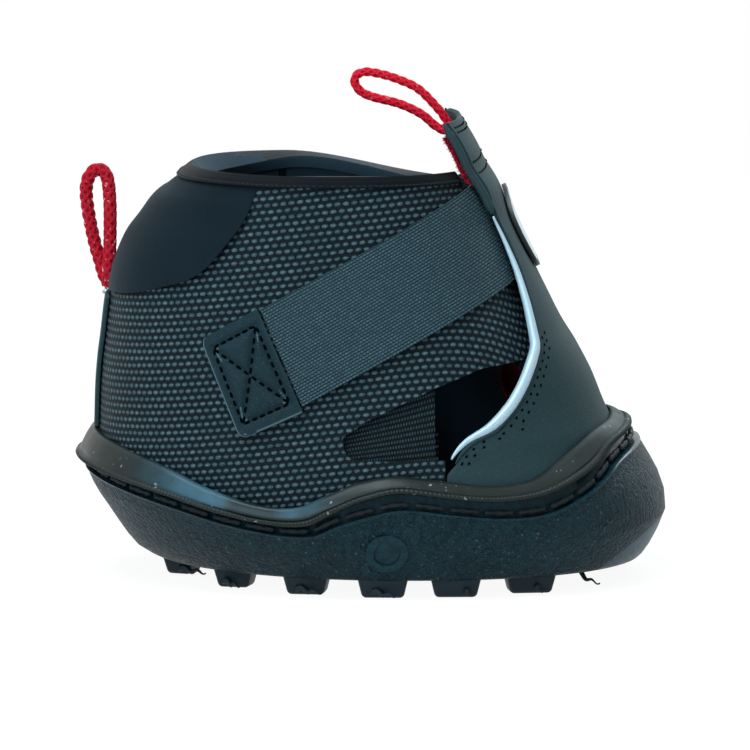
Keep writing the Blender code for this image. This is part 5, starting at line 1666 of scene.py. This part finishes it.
def edge_rod(name, low, high, radius, run, lift, steps, taper, top_taper=ROD_TAPER):
    """A rod along the leather's rear edge between two heights, shifted along the skin and off it."""
    z = np.linspace(low, high, steps + 1)
    distance = panel_distance(z)
    path = skin(line_angle(z, distance, run), z, distance + lift)
    length = np.linalg.norm(np.diff(path, axis=0), axis=1).sum()
    rod = swept(name, path, ROD_SIDES, round_rod(radius, length, taper, top_taper), (0, 1, 0))
    rod.data.shade_smooth()
    return rod


welt = edge_rod("piping_welt_near", WELT_FOOT, PIPING_TOP_SHARE * FORM_HEIGHT, WELT_RADIUS,
                -PIPING_RADIUS * 2 - WELT_GAP, 0.0, ROD_STEPS, ROD_TAPER)
for made in (welt, mirrored(welt, "piping_welt_far")):
    dress_bending(made, leather)

piping_low = WINDOW_SHARES[0][1] * FORM_HEIGHT + CLEARANCE
piping_high = PIPING_TOP_SHARE * FORM_HEIGHT + PIPING_OVER
piping = edge_rod("piping_near", piping_low, piping_high, PIPING_RADIUS * PIPING_SWELL, -PIPING_RADIUS,
                  -LEATHER_THICKNESS / 2, ROD_STEPS, *PIPING_TAPERS)
for made, word in ((piping, "near"), (mirrored(piping, "piping_far"), "far")):
    dress_bending(made, piping_film, [f"toe_piping_{word}", f"flap_piping_{word}"])

# Rolled edge: along the tab above the piping the leather is turned over on itself, which leaves a
# thick round edge and a second, finer crease beside it.
ROLL_RADIUS = 0.0012
ROLL_GAP = 0.0008
ROLL_TAPER = 0.002
ROLL_STEPS = 60
CREASE_RADIUS = 0.0009
CREASE_INSET, CREASE_SINK = 0.0004, 0.0003
CREASE_LOW, CREASE_HIGH = 0.003, 0.001
CREASE_TAPER = 0.006
roll_high = FLAP_TOP_SHARE * FORM_HEIGHT
rolls = gathered("flap_roll_near_leather", [
    edge_rod("flap_roll", piping_high + ROLL_GAP, roll_high, ROLL_RADIUS, -ROLL_RADIUS,
             -LEATHER_THICKNESS / 2, ROLL_STEPS, ROLL_TAPER),
    edge_rod("flap_fold_line", piping_high + CREASE_LOW, roll_high - CREASE_HIGH, CREASE_RADIUS,
             LEATHER_INSET - CREASE_INSET, -CREASE_SINK, ROLL_STEPS, CREASE_TAPER),
])
dress_pair(rolls, leather, "flap_roll", ("flap", "flap"))

# Hook-and-loop tape: red nylon hooks sewn to the leather's inner face, and a patch of red loops on the tongue
# that they grip, painted dark red as the tape's shade deep in the throat. Hooks and loose fibres stand out
# along the edges.
TAPE_FOOT_SHARE, TAPE_TOP_SHARE = 0.440, 0.955
TAPE_OVER = 0.0015
TAPE_INSET = 0.0014
PEEK_FROM, PEEK_EASE, PEEK = 0.1070, 0.005, 0.0068
MATE_THICKNESS = 0.0005
MATE_FACE = -TONGUE_DEPTH + CLEARANCE + MATE_THICKNESS
MATE_LINE = -TONGUE_DEPTH + 0.0006
MATE_FOOT, MATE_HEIGHT = 0.0570, 0.0155
MATE_REAR, MATE_CURVE = 0.0355, 0.0030
MATE_RUN = 0.05


def tape_place(u, v):
    """The hook tape inside the leather's edges, wider at the tab, where it peeks out."""
    low, high = TAPE_FOOT_SHARE * FORM_HEIGHT, TAPE_TOP_SHARE * FORM_HEIGHT + TAPE_OVER
    level, back = np.unique(v, return_inverse=True)
    z = low + (high - low) * level
    distance = panel_distance(z) - LEATHER_THICKNESS - CLEARANCE
    peek = PEEK * ramp((z - PEEK_FROM) / PEEK_EASE)
    edge = line_angle(z, distance, LEATHER_INSET - TAPE_INSET + peek)
    half = -skin(edge, z, distance)[..., 1]
    z, distance, half = z[back], distance[back], half[back]
    across = half * (1 - 2 * u)
    points = skin(np.sign(across) * angle_across(np.abs(across), z, distance), z, distance)
    return points, np.stack([across, z], axis=1)


def mate_place(u, v):
    """The loop patch on the tongue's outer face, its two ends bowed."""
    z = MATE_FOOT + MATE_HEIGHT * v
    rear = angle_at(MATE_REAR + MATE_CURVE * np.abs(2 * v - 1) ** 2, z, MATE_LINE)
    angle = rear * np.abs(2 * u - 1) * np.where(u > 0.5, -1, 1)
    return skin(angle, z, MATE_FACE), np.stack([u * MATE_RUN, z], axis=1)


def red_pile(name, deep, bright):
    """Red nylon hooks or loops, standing so close that they read as a rough nap."""
    material, tree, shader, coords = start_material(name, bright, 0.9, 0.06)
    nap = add_node(tree, "ShaderNodeTexNoise",
                   {"Vector": coords["Object"], "Scale": per_metre(0.625), "Detail": 3.0})
    patchy = add_node(tree, "ShaderNodeMapRange", {"Value": nap, "From Min": 0.35, "From Max": 0.65})
    tint = add_node(tree, "ShaderNodeMixRGB", {0: patchy, 1: linear(deep), 2: linear(bright)})
    bump = add_node(tree, "ShaderNodeBump", {"Height": nap, "Strength": 0.9, "Distance": 0.0005})
    connect(tree, shader, {"Base Color": tint, "Normal": bump})
    return material


red_hooks = red_pile("red_hook_tape", "#780a18", "#d8283e")
# Painted shade: the loops' red is the hooks' red darkened toward black.
shaded_red_loops = red_pile("red_loop_pile", "#0e0405", "#6a1522")
mate = sheet_on("tongue_loop_patch", 60, 20, mate_place, MATE_THICKNESS)
dress(mate, shaded_red_loops)
tape = sheet_on("hook_tape_backing", 48, 80, tape_place, TAPE_THICKNESS)
dress_bending(tape, red_hooks, ["throat_hook_tape", "flap_hook_tape"])

HOOK_FIBRES, LOOP_FIBRES = 1300, 420
HOOK_FIBRE_SIZE = (0.0017, 0.00016)
LOOP_FIBRE_SIZE = (0.0015, 0.00020)
HOOK_RIM, LOOP_RIM = 0.05, 0.12
FIBRE_STRAY = 0.45
FIBRE_MIDDLE, FIBRE_TIP = (0.55, 0.12), (0.95, 0.40)
FIBRE_TAPER = 0.8


def loose_fibres(name, roots, ahead, length, width, seed):
    """Fine curled fibres as thin pointed strips, each from a root roughly along a direction."""
    chance = np.random.default_rng(seed)
    roots = np.asarray(roots)
    count = len(roots)
    ahead = unit(unit(ahead) + chance.normal(0, FIBRE_STRAY, (count, 3)))
    bend = unit(np.cross(ahead, chance.normal(0, 1, (count, 3))))
    across = np.cross(ahead, bend)
    reach = (length * chance.uniform(0.4, 1.0, count))[:, None]
    half = across * width / 2
    middle = roots + ahead * reach * FIBRE_MIDDLE[0] + bend * reach * FIBRE_MIDDLE[1]
    tip = roots + ahead * reach * FIBRE_TIP[0] + bend * reach * FIBRE_TIP[1]
    thin = half * FIBRE_TAPER
    knots = np.stack([roots - half, roots + half, middle + thin, middle - thin, tip], axis=1)
    faces = []
    for index in range(count):
        first = index * 5
        faces += [(first, first + 1, first + 2, first + 3), (first + 3, first + 2, first + 4)]
    mesh = bpy.data.meshes.new(name)
    mesh.from_pydata(knots.reshape(-1, 3).tolist(), [], faces)
    piece = bpy.data.objects.new(name, mesh)
    bpy.context.scene.collection.objects.link(piece)
    return piece


chance = np.random.default_rng(4)
tufts = []
for hand, inward in ((0, 1), (1, -1)):
    v = np.sort(chance.uniform(0.80, 1.0, HOOK_FIBRES))
    edge_u = np.full(HOOK_FIBRES, float(hand))
    rim, _ = tape_place(edge_u, v)
    inside, _ = tape_place(edge_u + HOOK_RIM * inward, v)
    roots = rim + (inside - rim) * chance.uniform(0, 1, (HOOK_FIBRES, 1))
    direction = unit(rim - inside) + np.array([-0.5, 0.0, 0.0])
    tufts.append(loose_fibres("hook_fibres", roots, direction, *HOOK_FIBRE_SIZE, 5 + hand))
pile = []
for hand, inward in ((0, 1), (1, -1)):
    v = chance.uniform(0.0, 1.0, LOOP_FIBRES)
    edge_u = np.full(LOOP_FIBRES, float(hand))
    rim, _ = mate_place(edge_u, v)
    inside, _ = mate_place(edge_u + LOOP_RIM * inward, v)
    roots = rim + (inside - rim) * chance.uniform(0, 1, (LOOP_FIBRES, 1)) ** 2
    direction = unit(rim - inside) + np.array([-0.3, -0.8 * inward, 0.0])
    pile.append(loose_fibres("loop_fibres", roots, direction, *LOOP_FIBRE_SIZE, 7 + hand))
dress(gathered("tongue_patch_fibres", pile), shaded_red_loops)
dress_bending(gathered("hook_tape_fibres", tufts), red_hooks)

# Frayed ends: pale nylon threads that stand loose at the upper corners of the heel strip, where
# the cloth under it was cut.
FRAY_COUNT = 46
FRAY_AHEAD = (-1.0, 0.0, 0.9)
FRAY_SIZE = (0.0016, 0.00012)
frays = []
for start, stop in ((0.10, 0.40), (0.60, 0.90)):
    u = chance.uniform(start, stop, FRAY_COUNT)
    roots, _ = strip_place(u, np.ones(FRAY_COUNT))
    frays.append(loose_fibres("fray", roots, np.tile(FRAY_AHEAD, (FRAY_COUNT, 1)), *FRAY_SIZE, 11))
# Undyed nylon, greyed by wear, so single threads show pale against the dark leather.
pale_thread, tree, shader, coords = start_material("frayed_nylon_thread", "#a9bdc6", 0.7, 0.1)
ageing = add_node(tree, "ShaderNodeTexNoise", {"Vector": coords["Object"], "Scale": per_metre(1.111)})
tint = add_node(tree, "ShaderNodeMixRGB", {0: ageing, 1: linear("#5c7680"), 2: linear("#cfdde3")})
connect(tree, shader, {"Base Color": tint})
dress(gathered("heel_strip_frays", frays), pale_thread)

# Badge: a thin round disc of coated cloth on the front of the flap above its waist, plain faced,
# with a dark turned rim. It lies on the leather's own curve.
BADGE_RADIUS = 0.0120
BADGE_THICKNESS = 0.0012
BADGE_HEIGHT = 0.0955
BADGE_STEP = 0.0013
BADGE_FACE_SHARE, BADGE_RIM_SHARE = 0.86, 0.89
badge_distance = FLAP_FACE + CLEARANCE + BADGE_THICKNESS
badge_low, badge_high = (skin(0.0, z, badge_distance) for z in (BADGE_HEIGHT, BADGE_HEIGHT + BADGE_STEP))
badge_tall = BADGE_RADIUS * BADGE_STEP / float(np.linalg.norm(badge_high - badge_low))


def badge_place(u, v):
    """The disc on the flap's face, a square grid drawn round."""
    x, y = 2 * u - 1, 2 * v - 1
    round_x, round_y = x * np.sqrt(1 - y * y / 2), y * np.sqrt(1 - x * x / 2)
    z = BADGE_HEIGHT + badge_tall * round_y
    across = -BADGE_RADIUS * round_x
    points = skin(np.sign(across) * angle_across(np.abs(across), z, badge_distance), z, badge_distance)
    return points, np.stack([round_x, round_y], axis=1) / 1000


# Coated cloth: pale grey, half glossy, with a near-black rim.
badge_face, tree, shader, coords = start_material("badge_face", "#d8dcdd", 0.45)
radius = add_node(tree, "ShaderNodeVectorMath", {0: coords["UV"]}, operation="LENGTH").outputs["Value"]
rim = add_node(tree, "ShaderNodeMapRange",
               {"Value": radius, "From Min": BADGE_FACE_SHARE, "From Max": BADGE_RIM_SHARE})
tint = add_node(tree, "ShaderNodeMixRGB", {0: rim, 1: linear("#e3e2e2"), 2: linear("#161b1f")})
connect(tree, shader, {"Base Color": tint})
badge = eased(sheet_on("round_badge", 48, 48, badge_place, BADGE_THICKNESS), SOFT_EDGE)
dress(badge, badge_face, "flap", ["badge"])
